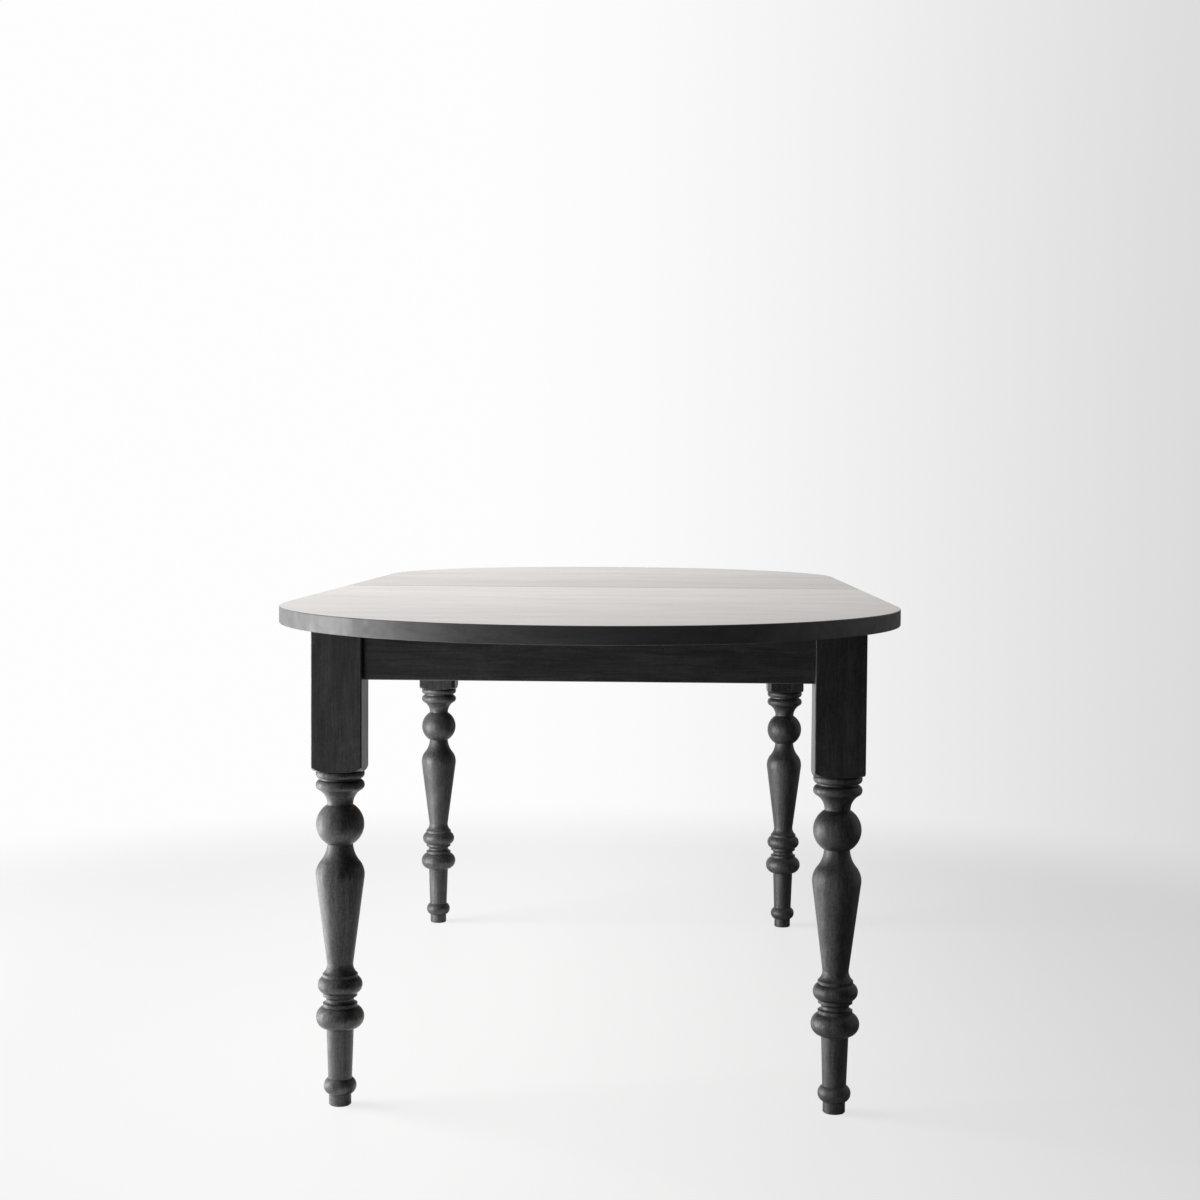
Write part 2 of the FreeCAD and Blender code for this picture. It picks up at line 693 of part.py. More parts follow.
def make_corner_hardware(corner):
    """The bolts, washers, nuts and screws of one corner, each kind a group of its own."""
    place = corner_place(corner)
    flat_distance = (S.post_width - S.post_flat) * DIAGONAL
    bolt_start = flat_distance - S.bolt_grip
    washer_start = BLOCK_INNER * DIAGONAL
    nut_start = washer_start + S.washer_thickness
    nut_end = nut_start + S.nut_height
    loose = S.bolt_radius + S.pilot_clearance

    bolts = new_body("hanger_bolts_" + corner, *place)
    rods = circles(diagonal_at(bolts, bolt_start), S.bolt_radius, BOLT_POINTS)
    pad(bolts, rods, nut_end + S.bolt_tail - bolt_start)

    washers = new_body("bolt_washers_" + corner, *place)
    rings = circles(diagonal_at(washers, washer_start), S.washer_radius, BOLT_POINTS)
    pad(washers, circles(rings, loose, BOLT_POINTS), S.washer_thickness)

    nuts = new_body("bolt_nuts_" + corner, *place)
    hexagons = circles(diagonal_at(nuts, nut_start), loose, BOLT_POINTS)
    reach = S.nut_across_flats / (math.cos(math.pi / NUT_SIDES) * 2)
    turns = [math.radians(FULL_TURN * step / NUT_SIDES) for step in range(NUT_SIDES)]
    for _, height in BOLT_POINTS:
        corners = [(reach * math.sin(angle), height + reach * math.cos(angle)) for angle in turns]
        outline(hexagons, *corners, corners[0])
    pad(nuts, hexagons, S.nut_height)

    screws = new_body("block_screws_" + corner, *place)
    seat = APRON_INNER + S.block_screw_seat
    length = S.block_screw_seat + S.block_screw_bite
    for sketch_at, back in ((along_at, False), (across_at, True)):
        shanks = circles(sketch_at(screws, seat - length), S.block_screw_radius, BLOCK_SCREW_POINTS)
        pad(screws, shanks, length, back)
        heads = circles(sketch_at(screws, seat), S.block_screw_head_radius, BLOCK_SCREW_POINTS)
        pad(screws, heads, S.block_screw_head_height, back)


def apron_section(sketch, outer, inner):
    """An apron's section from its outer to its inner face: eased lower outer edge, grooved inner face."""
    way = 1 if number(inner) > number(outer) else -1
    ease = S.apron_edge_radius
    bend = ease * EASE_BEND_SHARE
    depth = inner - way * S.groove_depth
    return outline(
        sketch,
        (outer, UNDERSIDE),
        (outer, APRON_BOTTOM + ease),
        Arc((outer + way * bend, APRON_BOTTOM + bend), (outer + way * ease, APRON_BOTTOM)),
        (inner, APRON_BOTTOM),
        (inner, GROOVE_TOP - S.groove_width),
        (depth, GROOVE_TOP - S.groove_width),
        (depth, GROOVE_TOP),
        (inner, GROOVE_TOP),
        (inner, UNDERSIDE),
        (outer, UNDERSIDE))


def make_end_apron(half):
    """The apron between the two posts of one end."""
    body = new_body("apron_%s_end" % half, HALVES[half])
    inner = -END_INNER
    reach = LEG_X - POST_HALF
    section = apron_section(along_at(body, -reach), inner - S.apron_thickness, inner)
    pad(body, section, reach * 2)
    points = [(side * (LEG_X - BLOCK_SCREW), z) for side in (-1, 1) for z in BLOCK_SCREW_HEIGHTS]
    pilots = circles(across_at(body, inner), S.block_screw_radius + S.pilot_clearance, points)
    cut(body, pilots, S.block_screw_bite + S.pilot_clearance)


def make_side_apron(half, hand):
    """The apron along one side of a half, from its post to the seam."""
    side = HANDS[hand] if half == "front" else -HANDS[hand]
    body = new_body("apron_%s_%s" % (half, hand), HALVES[half])
    inner = side * SIDE_INNER
    section = apron_section(across_at(body, -SEAM), side * (SIDE_INNER + S.apron_thickness), inner)
    pad(body, section, LEG_Y - POST_HALF - SEAM)
    points = [(-LEG_Y + BLOCK_SCREW, z) for z in BLOCK_SCREW_HEIGHTS]
    pilots = circles(along_at(body, inner), S.block_screw_radius + S.pilot_clearance, points)
    cut(body, pilots, S.block_screw_bite + S.pilot_clearance, back=side < 0)


def make_buttons(half):
    """Wooden buttons of one half: each a block with a tongue in the apron's groove, and a screw hole."""
    body = new_body("top_buttons_" + half, HALVES[half])
    tongue_bottom = GROOVE_TOP - S.button_tongue_thickness
    half_width = S.button_width / 2

    def section(sketch, face, way):
        tip = face - way * S.button_tongue_length
        back = face + way * S.button_reach
        return outline(
            sketch,
            (face, BUTTON_TOP),
            (face, GROOVE_TOP),
            (tip, GROOVE_TOP),
            (tip, tongue_bottom),
            (face, tongue_bottom),
            (face, BUTTON_BOTTOM),
            (back, BUTTON_BOTTOM),
            (back, BUTTON_TOP),
            (face, BUTTON_TOP))

    for side in (-1, 1):
        for place in SIDE_BUTTON_PLACES:
            sketch = across_at(body, place + half_width)
            pad(body, section(sketch, side * SIDE_INNER, -side), S.button_width)
        sketch = along_at(body, side * END_BUTTON_X - half_width)
        pad(body, section(sketch, -END_INNER, 1), S.button_width)
    bore = S.wood_screw_radius + S.bore_clearance
    cut(body, circles(flat_at(body, BUTTON_BOTTOM), bore, BUTTON_POINTS), S.button_height + OVERRUN)


def make_wood_screws(label, half, seat, points):
    """Screws driven up into the top, with their heads under a seat."""
    body = new_body(label, HALVES[half])
    shanks = circles(flat_at(body, seat), S.wood_screw_radius, points)
    pad(body, shanks, UNDERSIDE - seat + S.wood_screw_bite)
    heads = circles(flat_at(body, seat), S.wood_screw_head_radius, points)
    pad(body, heads, S.wood_screw_head_height, back=True)


def make_fixed_rail(half, hand):
    """A slide rail screwed under one half, with a dovetail tongue, and relief under the other half."""
    outer = (half == "front") == (hand == "left")
    body = new_body("slide_%s_%s" % (half, hand), HALVES[half])
    centre = RAIL_CENTRES[0] if outer else RAIL_CENTRES[1]
    left = centre - S.rail_width / 2
    right = centre + S.rail_width / 2
    far_end = RAIL_LENGTH - RAIL_REACH
    bar = rectangle(across_at(body, -RAIL_REACH), (left, RAIL_BOTTOM), (right, UNDERSIDE))
    pad(body, bar, RAIL_LENGTH, back=True)
    low = (left - OVERRUN, UNDERSIDE - S.rail_relief)
    high = (right + OVERRUN, UNDERSIDE + OVERRUN)
    cut(body, rectangle(across_at(body, -SEAM), low, high), far_end + SEAM + OVERRUN, back=True)
    # The tongue starts where the middle rail's peg stops it when the table is fully open
    peg = S.stop_peg_inset - RAIL_LENGTH / 2
    tongue_start = peg + S.extension_travel / 2 + S.stop_peg_radius + S.stop_clearance
    root_half = S.dovetail_mouth / 2 - S.dovetail_clearance
    tip_half = S.dovetail_root / 2 - S.dovetail_clearance
    tip = right + S.rail_gap + S.dovetail_depth - S.dovetail_clearance
    tongue = outline(
        across_at(body, tongue_start),
        (right - S.rail_gap, RAIL_MIDDLE - root_half),
        (right + S.rail_gap, RAIL_MIDDLE - root_half),
        (tip, RAIL_MIDDLE - tip_half),
        (tip, RAIL_MIDDLE + tip_half),
        (right + S.rail_gap, RAIL_MIDDLE + root_half),
        (right - S.rail_gap, RAIL_MIDDLE + root_half),
        (right - S.rail_gap, RAIL_MIDDLE - root_half))
    pad(body, tongue, far_end - tongue_start, back=True)
    points = [(centre, y) for y in RAIL_SCREW_PLACES]
    bores = circles(flat_at(body, RAIL_BOTTOM), S.wood_screw_radius + S.bore_clearance, points)
    cut(body, bores, S.rail_height + OVERRUN)
    sinks = circles(flat_at(body, RAIL_BOTTOM), S.wood_screw_head_radius + S.head_clearance, points)
    cut(body, sinks, S.rail_height - S.rail_screw_grip)


def make_middle_rail(hand):
    """The floating rail of a slide, grooved on both sides, with a stop peg near each end."""
    body = new_body("slide_middle_" + hand)
    centre = HANDS[hand] * SLIDE_X
    half = S.middle_rail_width / 2
    top = UNDERSIDE - S.rail_relief
    left = centre - half
    right = centre + half
    mouth = S.dovetail_mouth / 2
    deep = S.dovetail_root / 2
    section = outline(
        across_at(body, -RAIL_LENGTH / 2),
        (left, RAIL_BOTTOM),
        (right, RAIL_BOTTOM),
        (right, RAIL_MIDDLE - mouth),
        (right - S.dovetail_depth, RAIL_MIDDLE - deep),
        (right - S.dovetail_depth, RAIL_MIDDLE + deep),
        (right, RAIL_MIDDLE + mouth),
        (right, top),
        (left, top),
        (left, RAIL_MIDDLE + mouth),
        (left + S.dovetail_depth, RAIL_MIDDLE + deep),
        (left + S.dovetail_depth, RAIL_MIDDLE - deep),
        (left, RAIL_MIDDLE - mouth),
        (left, RAIL_BOTTOM))
    pad(body, section, RAIL_LENGTH, back=True)
    # The peg on the left side stops the front rail's tongue, and the one on the right the rear rail's
    end = RAIL_LENGTH / 2 - S.stop_peg_inset
    points = [(left + S.dovetail_depth / 2, -end), (right - S.dovetail_depth / 2, end)]
    height = S.rail_height - S.rail_relief
    bore = S.stop_peg_radius + S.pilot_clearance
    cut(body, circles(flat_at(body, RAIL_BOTTOM - OVERRUN), bore, points), height + OVERRUN * 2)
    pegs = new_body("slide_stop_pegs_" + hand)
    pad(pegs, circles(flat_at(pegs, RAIL_BOTTOM), S.stop_peg_radius, points), height)


def make_lock_plates():
    """The plates that carry the lock levers, one near each side of the front half."""
    body = new_body("lock_plates")
    plan = flat_at(body, UNDERSIDE)
    for side, (x, y) in zip((-1, 1), LOCK_PIVOTS):
        ends = (x - side * S.lock_plate_inner_reach, x + side * S.lock_plate_outer_reach)
        left, right = sorted(ends, key=number)
        rounded_plate(plan, (left, y - S.lock_plate_half_width), (right, y + S.lock_plate_half_width))
    circles(plan, S.rivet_radius + S.pilot_clearance, LOCK_PIVOTS)
    circles(plan, S.lock_screw_radius + S.bore_clearance, PLATE_SCREW_POINTS)
    pad(body, plan, S.lock_plate_thickness, back=True)


def make_lock_rivets():
    """The headed pins that the lock levers turn on."""
    body = new_body("lock_rivets")
    head = LEVER_BOTTOM - S.rivet_head_gap
    pad(body, circles(flat_at(body, head), S.rivet_radius, LOCK_PIVOTS), UNDERSIDE - head)
    heads = circles(flat_at(body, head), S.rivet_head_radius, LOCK_PIVOTS)
    pad(body, heads, S.rivet_head_height, back=True)


def make_lock_lever(hand):
    """A flat lever that parks outward and swings to the rear, where its hook takes the keeper's stud."""
    side = HANDS[hand]
    body = new_body("lock_lever_" + hand, 0, (side * LOCK_X, -S.lock_pivot_back, 0))
    half = S.lever_half_width
    outer = STUD_SWING + HOOK_HALF
    inner = STUD_SWING - HOOK_HALF
    outer_mouth = root(outer * outer - half * half)
    inner_mouth = root(inner * inner - half * half)
    rise = half / 2
    plan = outline(
        flat_at(body, LEVER_TOP),
        (0, -half),
        (side * LEVER_TIP, -half),
        (side * LEVER_TIP, half),
        (side * outer_mouth, half),
        Arc((side * root(outer * outer - rise * rise), rise), (side * outer, 0)),
        Arc((side * STUD_SWING, -HOOK_HALF), (side * inner, 0)),
        Arc((side * root(inner * inner - rise * rise), rise), (side * inner_mouth, half)),
        (0, half),
        Arc((-side * half, 0), (0, -half)))
    circles(plan, S.rivet_radius + S.rivet_clearance, [(0, 0)])
    pad(body, plan, S.lever_thickness, back=True)
    tab_inner = LEVER_TIP - S.lever_tab_thickness
    tab = rectangle(flat_at(body, LEVER_TOP), (side * tab_inner, -half), (side * LEVER_TIP, half))
    pad(body, tab, S.lever_tab_drop, back=True)


def make_lock_keepers():
    """The keepers on the rear half: each a plate with the stud that a lever hooks."""
    body = new_body("lock_keepers")
    plan = flat_at(body, UNDERSIDE)
    for x, y in KEEPER_STUDS:
        rounded_plate(plan, (x - S.keeper_half_width, y - S.keeper_front_reach),
                      (x + S.keeper_half_width, y + S.keeper_rear_reach))
    circles(plan, S.lock_screw_radius + S.bore_clearance, KEEPER_SCREW_POINTS)
    pad(body, plan, S.lock_plate_thickness, back=True)
    studs = circles(flat_at(body, PLATE_BOTTOM), S.stud_radius, KEEPER_STUDS)
    pad(body, studs, S.stud_drop, back=True)


def make_lock_screws(label, points):
    """The short screws of the lock plates or of the keepers."""
    body = new_body(label)
    shanks = circles(flat_at(body, PLATE_BOTTOM), S.lock_screw_radius, points)
    pad(body, shanks, S.lock_plate_thickness + S.lock_screw_bite)
    heads = circles(flat_at(body, PLATE_BOTTOM), S.lock_screw_head_radius, points)
    pad(body, heads, S.lock_screw_head_height, back=True)


def make_alignment_pins():
    """Dowels set in the rear half's edge, with bevelled tips that enter the front half's sockets."""
    body = new_body("alignment_pins")
    length = S.pin_grip + S.seam_gap + S.pin_reach
    dowels = pad(body, circles(across_at(body, SEAM + S.pin_grip), S.pin_radius, PIN_POINTS), length)
    tip = number(-SEAM - S.pin_reach / 2)
    rounded(body, dowels, S.pin_tip_chamfer, lambda edge: edge.BoundBox.YMax < tip, "PartDesign::Chamfer")


def write_pieces():
    """Check every object of the document, then write each piece to a file of its own name."""
    doc.recompute()
    failed = [thing.Label for thing in doc.Objects if {"Invalid", "Error"} & set(thing.State)]
    failed += [piece.Label for piece in pieces if piece.Shape.isNull() or not piece.Shape.isValid()]
    if failed:
        raise RuntimeError("not built: " + ", ".join(failed))
    os.makedirs("parts", exist_ok=True)
    for piece in pieces:
        piece.Shape.exportStep("parts/%s.step" % piece.Label)


socket_radius = S.pin_radius + S.pin_clearance
make_top("front", socket_radius, S.pin_reach + S.pin_clearance, PLATE_SCREW_POINTS)
make_top("rear", S.pin_radius + S.pilot_clearance, S.pin_grip, [(x, -y) for x, y in KEEPER_SCREW_POINTS])
for corner in CORNERS:
    make_leg(corner)
    make_corner_block(corner)
    make_corner_hardware(corner)
for half in HALVES:
    make_end_apron(half)
    make_buttons(half)
    make_wood_screws("button_screws_" + half, half, BUTTON_BOTTOM, BUTTON_POINTS)
    make_wood_screws("slide_screws_" + half, half, UNDERSIDE - S.rail_screw_grip, RAIL_SCREW_POINTS)
    for hand in HANDS:
        make_side_apron(half, hand)
        make_fixed_rail(half, hand)
for hand in HANDS:
    make_middle_rail(hand)
    make_lock_lever(hand)
make_lock_plates()
make_lock_rivets()
make_lock_keepers()
make_lock_screws("lock_screws_front", PLATE_SCREW_POINTS)
make_lock_screws("lock_screws_rear", KEEPER_SCREW_POINTS)
make_alignment_pins()
write_pieces()
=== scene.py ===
import json
import math

import bpy
import numpy as np
from mathutils import Matrix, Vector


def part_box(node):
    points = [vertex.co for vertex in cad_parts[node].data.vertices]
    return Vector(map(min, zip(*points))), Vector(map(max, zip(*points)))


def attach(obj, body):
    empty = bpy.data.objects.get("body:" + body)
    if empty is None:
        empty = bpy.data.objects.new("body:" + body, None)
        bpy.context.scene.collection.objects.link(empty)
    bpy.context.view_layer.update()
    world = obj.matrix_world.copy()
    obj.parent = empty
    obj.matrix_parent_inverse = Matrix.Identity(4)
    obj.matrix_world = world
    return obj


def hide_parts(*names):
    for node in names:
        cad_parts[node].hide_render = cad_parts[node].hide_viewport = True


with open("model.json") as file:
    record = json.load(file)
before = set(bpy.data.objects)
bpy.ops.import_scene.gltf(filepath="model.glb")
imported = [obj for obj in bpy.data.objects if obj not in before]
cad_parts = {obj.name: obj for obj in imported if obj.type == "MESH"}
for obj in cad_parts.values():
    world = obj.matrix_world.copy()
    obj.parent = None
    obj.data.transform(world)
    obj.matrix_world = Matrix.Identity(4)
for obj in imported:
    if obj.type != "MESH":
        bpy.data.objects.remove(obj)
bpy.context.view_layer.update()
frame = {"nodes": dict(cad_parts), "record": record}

# An oval extension table in black stained wood, with pale wood and plain steel underneath.
# Metres, +Z up, origin on the floor under the middle, as the frame has it.

# The viewer stands off the near end, a little right of the middle, at about eye height when seated
CAMERA_PLACE = (0.11114, -3.65208, 0.91853)
CAMERA_YAW = math.radians(-1.82)
CAMERA_PITCH = math.radians(-2.82)
CAMERA_ROLL = math.radians(-0.38)
CAMERA_LENS_MM = 60.0
CAMERA_SENSOR_MM = 36.0

# A tall window on the left: its middle across and along, and its length
WINDOW_PLACE = (-2.5, -0.3)
WINDOW_LENGTH = 2.0
# Its bands: name, lowest and highest edge, watts per square metre, shown in reflections.
# Only a band below the table top is mirrored, so the lacquer shows no hard window.
WINDOW_BANDS = (
    ("window", 0.02, 2.35, 70.0, False),
    ("window_gleam", 0.02, 0.74, 74.0, True),
)

# A pale studio, brighter towards the window: the directions between which it darkens, and its tones there
STUDIO_COLOUR = (1.0, 1.0, 1.0, 1.0)
STUDIO_EDGES = (-0.1, 0.4)
STUDIO_TONES = (0.985, 0.64)
GLOSS_EDGES = (-0.22, 0.42)
GLOSS_TONES = (0.95, 0.34)
# Reflections also find an unlit side behind the viewer and on the right
UNLIT_LEAN = 0.55
UNLIT_EDGES = (-0.58, -0.35)
UNLIT_SIDES = (-0.6, 0.3)
UNLIT_TONES = (0.05, 0.5)
FILL_TONE = 0.2

FLOOR_RADIUS = 12.0
FLOOR_SIDES = 96
FLOOR_DROP = 0.0003
FLOOR_ROUGHNESS = 0.5
# The floor thins out between these distances, before it would pass under the window
FLOOR_FADE = (1.5, 2.45)
# As the viewer sees it: painted darker near the window against the window's pool of light, with a glow that
# fades away from the window as painted window light
FLOOR_NEAR_WINDOW_COLOUR = (0.22, 0.219, 0.218, 1.0)
FLOOR_COLOUR = (0.46, 0.459, 0.456, 1.0)
FLOOR_COLOUR_EDGES = (-1.1, -0.1)
FLOOR_GLOW_SHARE = 0.8
FLOOR_GLOW_EDGES = (-0.35, 1.45)
FLOOR_GLOW_TONES = (0.985, 0.74)
# As it throws light back at the table
FLOOR_LIT_COLOUR = (0.92, 0.918, 0.912, 1.0)
FLOOR_SHADED_COLOUR = (0.12, 0.12, 0.12, 1.0)
FLOOR_LIT_EDGES = (-0.1, 0.7)
# Reflections lose the floor towards the viewer, where the room is unlit
FLOOR_DIM_EDGES = (-0.9, -1.7)


# Node building

def add(tree, kind, inputs=None, **settings):
    """Add a shader node, apply its settings, and set or link its inputs."""
    made = tree.nodes.new("ShaderNode" + kind)
    for name, value in settings.items():
        setattr(made, name, value)
    for name, value in (inputs or {}).items():
        if isinstance(value, bpy.types.NodeSocket):
            tree.links.new(value, made.inputs[name])
        else:
            made.inputs[name].default_value = value
    return made


def maths(tree, operation, *values):
    """One arithmetic step on numbers or sockets."""
    return add(tree, "Math", dict(enumerate(values)), operation=operation).outputs[0]


def blended(tree, patterns, shares):
    """The sum of patterns, each times its share."""
    total = 0.0
    for pattern, share in zip(patterns, shares):
        total = maths(tree, "MULTIPLY_ADD", pattern, share, total)
    return total


def eased(tree, value, start, end, low=0.0, high=1.0):
    """Carry a value from start..end to low..high on a smooth step."""
    ranges = {"Value": value, "From Min": start, "From Max": end, "To Min": low, "To Max": high}
    return add(tree, "MapRange", ranges, interpolation_type="SMOOTHSTEP").outputs["Result"]


def object_place(tree):
    """Where a point lies on the table at rest."""
    return add(tree, "TexCoord").outputs["Object"]


def along_grain(tree, grain, stretch, place):
    """Places shrunk along the grain, so that a pattern drawn on them runs out into fibres."""
    scale = [1.0, 1.0, 1.0]
    scale["xyz".index(grain)] = 1.0 / stretch
    return add(tree, "Mapping", {"Vector": place, "Scale": scale}).outputs["Vector"]


def cloud(tree, place, size, detail=3.0, roughness=0.5, distortion=0.0):
    """A soft pattern whose patches are about size metres across."""
    inputs = {"Vector": place, "Scale": 1.0 / size, "Detail": detail,
              "Roughness": roughness, "Distortion": distortion}
    return add(tree, "TexNoise", inputs).outputs[0]


def tinted(tree, factor, *stops):
    """A colour that runs through stops of (place, colour) as the factor goes from 0 to 1."""
    ramp = add(tree, "ValToRGB", {"Fac": factor})
    elements = ramp.color_ramp.elements
    while len(elements) < len(stops):
        elements.new(1.0)
    for element, (place, colour) in zip(elements, stops):
        element.position = place
        element.color = (*colour, 1.0)
    return ramp.outputs["Color"]


def mixed(tree, share, first, second):
    """A colour between two, by a share."""
    return add(tree, "MixRGB", {"Fac": share, "Color1": first, "Color2": second}).outputs[0]


def lightened(tree, colour, bloom, share=1.0):
    """A colour with a share of a bloom added to it."""
    inputs = {"Fac": share, "Color1": colour, "Color2": bloom}
    return add(tree, "MixRGB", inputs, blend_type="ADD").outputs[0]


def bumped(tree, height, strength, distance):
    """A normal that follows a height pattern."""
    inputs = {"Height": height, "Strength": strength, "Distance": distance}
    return add(tree, "Bump", inputs).outputs["Normal"]


def new_finish(name):
    """A new material: itself, its node tree and its shader."""
    material = bpy.data.materials.new(name)
    material.use_nodes = True
    tree = material.node_tree
    return material, tree, tree.nodes["Principled BSDF"]


def finish(tree, shader, colour, roughness, normal):
    """Join the patterns of a finish to its shader."""
    tree.links.new(colour, shader.inputs["Base Color"])
    tree.links.new(roughness, shader.inputs["Roughness"])
    tree.links.new(normal, shader.inputs["Normal"])


# Black wood of the legs and aprons

# Stain, from its darkest streaks to its palest
BLACK_STOPS = (
    (0.36, (0.0018, 0.0016, 0.0018)),
    (0.50, (0.0042, 0.0037, 0.0040)),
    (0.60, (0.0085, 0.0074, 0.0078)),
    (0.72, (0.0180, 0.0160, 0.0160)),
)
# Chalky bloom that stays on the turned parts, and painted light: it paints them lighter than the posts for
# the light they catch below the top
CHALK_AND_LIGHT_STOPS = (
    (0.38, (0.002, 0.002, 0.002)),
    (0.62, (0.020, 0.0196, 0.0214)),
)
# Wood that shows through where the stain is rubbed
RUBBED_STOPS = (
    (0.0, (0.0, 0.0, 0.0)),
    (1.0, (0.022, 0.020, 0.019)),
)
# How much the lacquer shines, from open pores to hard late wood
SHINE_EDGES = (0.36, 0.66)
SHINE_LEVELS = (0.38, 0.68)

FIBRE_SIZE = 0.0024
FIBRE_STRETCH = 18.0
FIGURE_SIZE = 0.014
FIGURE_STRETCH = 9.0
MOTTLE_SIZE = 0.11
MOTTLE_EDGES = (0.3, 0.7)
SPECKLE_SIZE = 0.0036
MARK_SIZE = 0.045
SMEAR_EDGES = (0.54, 0.7)
SMEAR_LEVELS = (0.0, 0.45)
# Shares of figure, fibre, mottle and speckle
TONE_SHARES = (0.36, 0.34, 0.12, 0.18)
# Shares of tone and smears
SHINE_SHARES = (1.0, 0.1)
# Shares of the soft gloss, smears, fibre and speckle
ROUGHNESS_SHARES = (1.0, 0.04, 0.08, 0.1)
# Shares of speckle, fibre and mottle
CHALK_AND_LIGHT_SHARES = (0.4, 0.3, 0.3)
CHALK_ROUGHNESS = 0.1
TURNED_FADE = 0.008
# Shares of fibre, figure and speckle
RELIEF_SHARES = (0.6, 0.2, 0.2)
RELIEF_DEPTH = 0.0006
# Where a leg is rubbed: shares of its half width and of its height
CREST_SHARES = (0.90, 0.975)
ARRIS_SHARES = (0.955, 0.985)
TURNED_SHARE = 0.69
RUBBED_FIBRE_EDGES = (0.42, 0.62)
# The turned part of a leg ends at this height
TURNED_BELOW = 0.515


def black_wood(name, grain, gloss, fibre_bump, rubbing=None, turned_below=None):
    """Black stain under satin lacquer: fibres along the grain, clouds, handling marks, rubbed places."""
    material, tree, shader = new_finish(name)
    place = object_place(tree)
    fibre_place = along_grain(tree, grain, FIBRE_STRETCH, place)
    fibre = cloud(tree, fibre_place, FIBRE_SIZE, detail=3.0, roughness=0.6)
    figure_place = along_grain(tree, grain, FIGURE_STRETCH, place)
    figure = cloud(tree, figure_place, FIGURE_SIZE, detail=4.0, distortion=0.9)
    mottle = cloud(tree, place, MOTTLE_SIZE, detail=3.0)
    speckle = cloud(tree, place, SPECKLE_SIZE, detail=2.0)
    marks = cloud(tree, place, MARK_SIZE, detail=5.0, roughness=0.62)
    tone = blended(tree, (figure, fibre, mottle, speckle), TONE_SHARES)
    smears = eased(tree, marks, *SMEAR_EDGES, *SMEAR_LEVELS)
    rubbed = smears if rubbing is None else maths(tree, "MAXIMUM", smears, rubbing(tree, place, fibre))
    worn = tinted(tree, maths(tree, "MULTIPLY", rubbed, figure), *RUBBED_STOPS)
    colour = lightened(tree, tinted(tree, tone, *BLACK_STOPS), worn)
    soft = eased(tree, mottle, *MOTTLE_EDGES, *gloss)
    roughness = blended(tree, (soft, smears, fibre, speckle), ROUGHNESS_SHARES)
    shine = eased(tree, blended(tree, (tone, smears), SHINE_SHARES), *SHINE_EDGES, *SHINE_LEVELS)
    tree.links.new(shine, shader.inputs["Specular IOR Level"])
    # The turned parts are painted lighter: chalky bloom, and painted light for the light they catch below the
    # top
    if turned_below is not None:
        height = add(tree, "SeparateXYZ", {"Vector": place}).outputs[2]
        turned = eased(tree, height, turned_below - TURNED_FADE, turned_below, 1.0, 0.0)
        chalk_and_light = tinted(tree, blended(tree, (speckle, fibre, mottle), CHALK_AND_LIGHT_SHARES), *CHALK_AND_LIGHT_STOPS)
        colour = lightened(tree, colour, chalk_and_light, turned)
        roughness = blended(tree, (turned, roughness), (CHALK_ROUGHNESS, 1.0))
    relief = blended(tree, (fibre, figure, speckle), RELIEF_SHARES)
    finish(tree, shader, colour, roughness, bumped(tree, relief, fibre_bump, RELIEF_DEPTH))
    return material


def rubbed_crests(tree, place, fibre):
    """Rubbed places on a leg: crests of its turnings and arrises of its post, by distance from its axis."""
    low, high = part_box("leg_front_right")
    middle = (low + high) / 2
    half = (high.x - low.x) / 2
    axes = add(tree, "SeparateXYZ", {"Vector": place}).outputs
    out_x = maths(tree, "SUBTRACT", maths(tree, "ABSOLUTE", axes[0]), middle.x)
    out_y = maths(tree, "SUBTRACT", maths(tree, "ABSOLUTE", axes[1]), -middle.y)
    square = maths(tree, "ADD", maths(tree, "MULTIPLY", out_x, out_x), maths(tree, "MULTIPLY", out_y, out_y))
    crest = eased(tree, maths(tree, "SQRT", square), *(half * share for share in CREST_SHARES))
    turned = maths(tree, "LESS_THAN", axes[2], low.z + (high.z - low.z) * TURNED_SHARE)
    least = maths(tree, "MINIMUM", maths(tree, "ABSOLUTE", out_x), maths(tree, "ABSOLUTE", out_y))
    arris = eased(tree, least, *(half * share for share in ARRIS_SHARES))
    worn = maths(tree, "MAXIMUM", maths(tree, "MULTIPLY", crest, turned), arris)
    return maths(tree, "MULTIPLY", worn, eased(tree, fibre, *RUBBED_FIBRE_EDGES))


# Black wood of the top

STAVE_WIDTH = 0.1425
STAVE_SHIFT = 7.0
TOP_FIBRE_SIZE = 0.0016
TOP_FIBRE_STRETCH = 26.0
TOP_FIGURE_SIZE = 0.024
TOP_FIGURE_STRETCH = 11.0
TOP_MOTTLE_SIZE = 0.22
WIPED_SIZE = 0.07
WIPED_STRETCH = 4.0
# Shares of figure, fibre, mottle and the stave's own lot
TOP_TONE_SHARES = (0.42, 0.26, 0.2, 0.12)
TOP_TONE_LIFT = 0.05
# Shares of mottle, fibre and wiped streaks
TOP_ROUGHNESS_SHARES = (0.1, 0.1, 0.1)
TOP_ROUGHNESS = 0.46
# Shares of fibre and figure
TOP_RELIEF_SHARES = (0.6, 0.4)
TOP_BUMP = 0.05
TOP_RELIEF_DEPTH = 0.0003
RIM_COLOUR = (0.005, 0.0049, 0.0054, 1.0)
NO_COLOUR = (0.0, 0.0, 0.0, 1.0)
# The flat face counts as such between these depths under its highest point
FACE_DEPTHS = (0.0014, 0.0001)
# Cover of the lacquer: start and end along the table, or away from the seam, and the cover there
FRONT_LACQUER = (-1.1, 0.0, 0.84, 0.95)
REAR_LACQUER = (0.0, 1.1, 0.76, 0.92)
SEAM_LACQUER = (0.003, 0.005, 0.3, 1.0)
# Shares of the half's cover, wiped streaks and mottle
LACQUER_SHARES = (1.0, -0.12, -0.1)
LACQUER_LIFT = 0.11
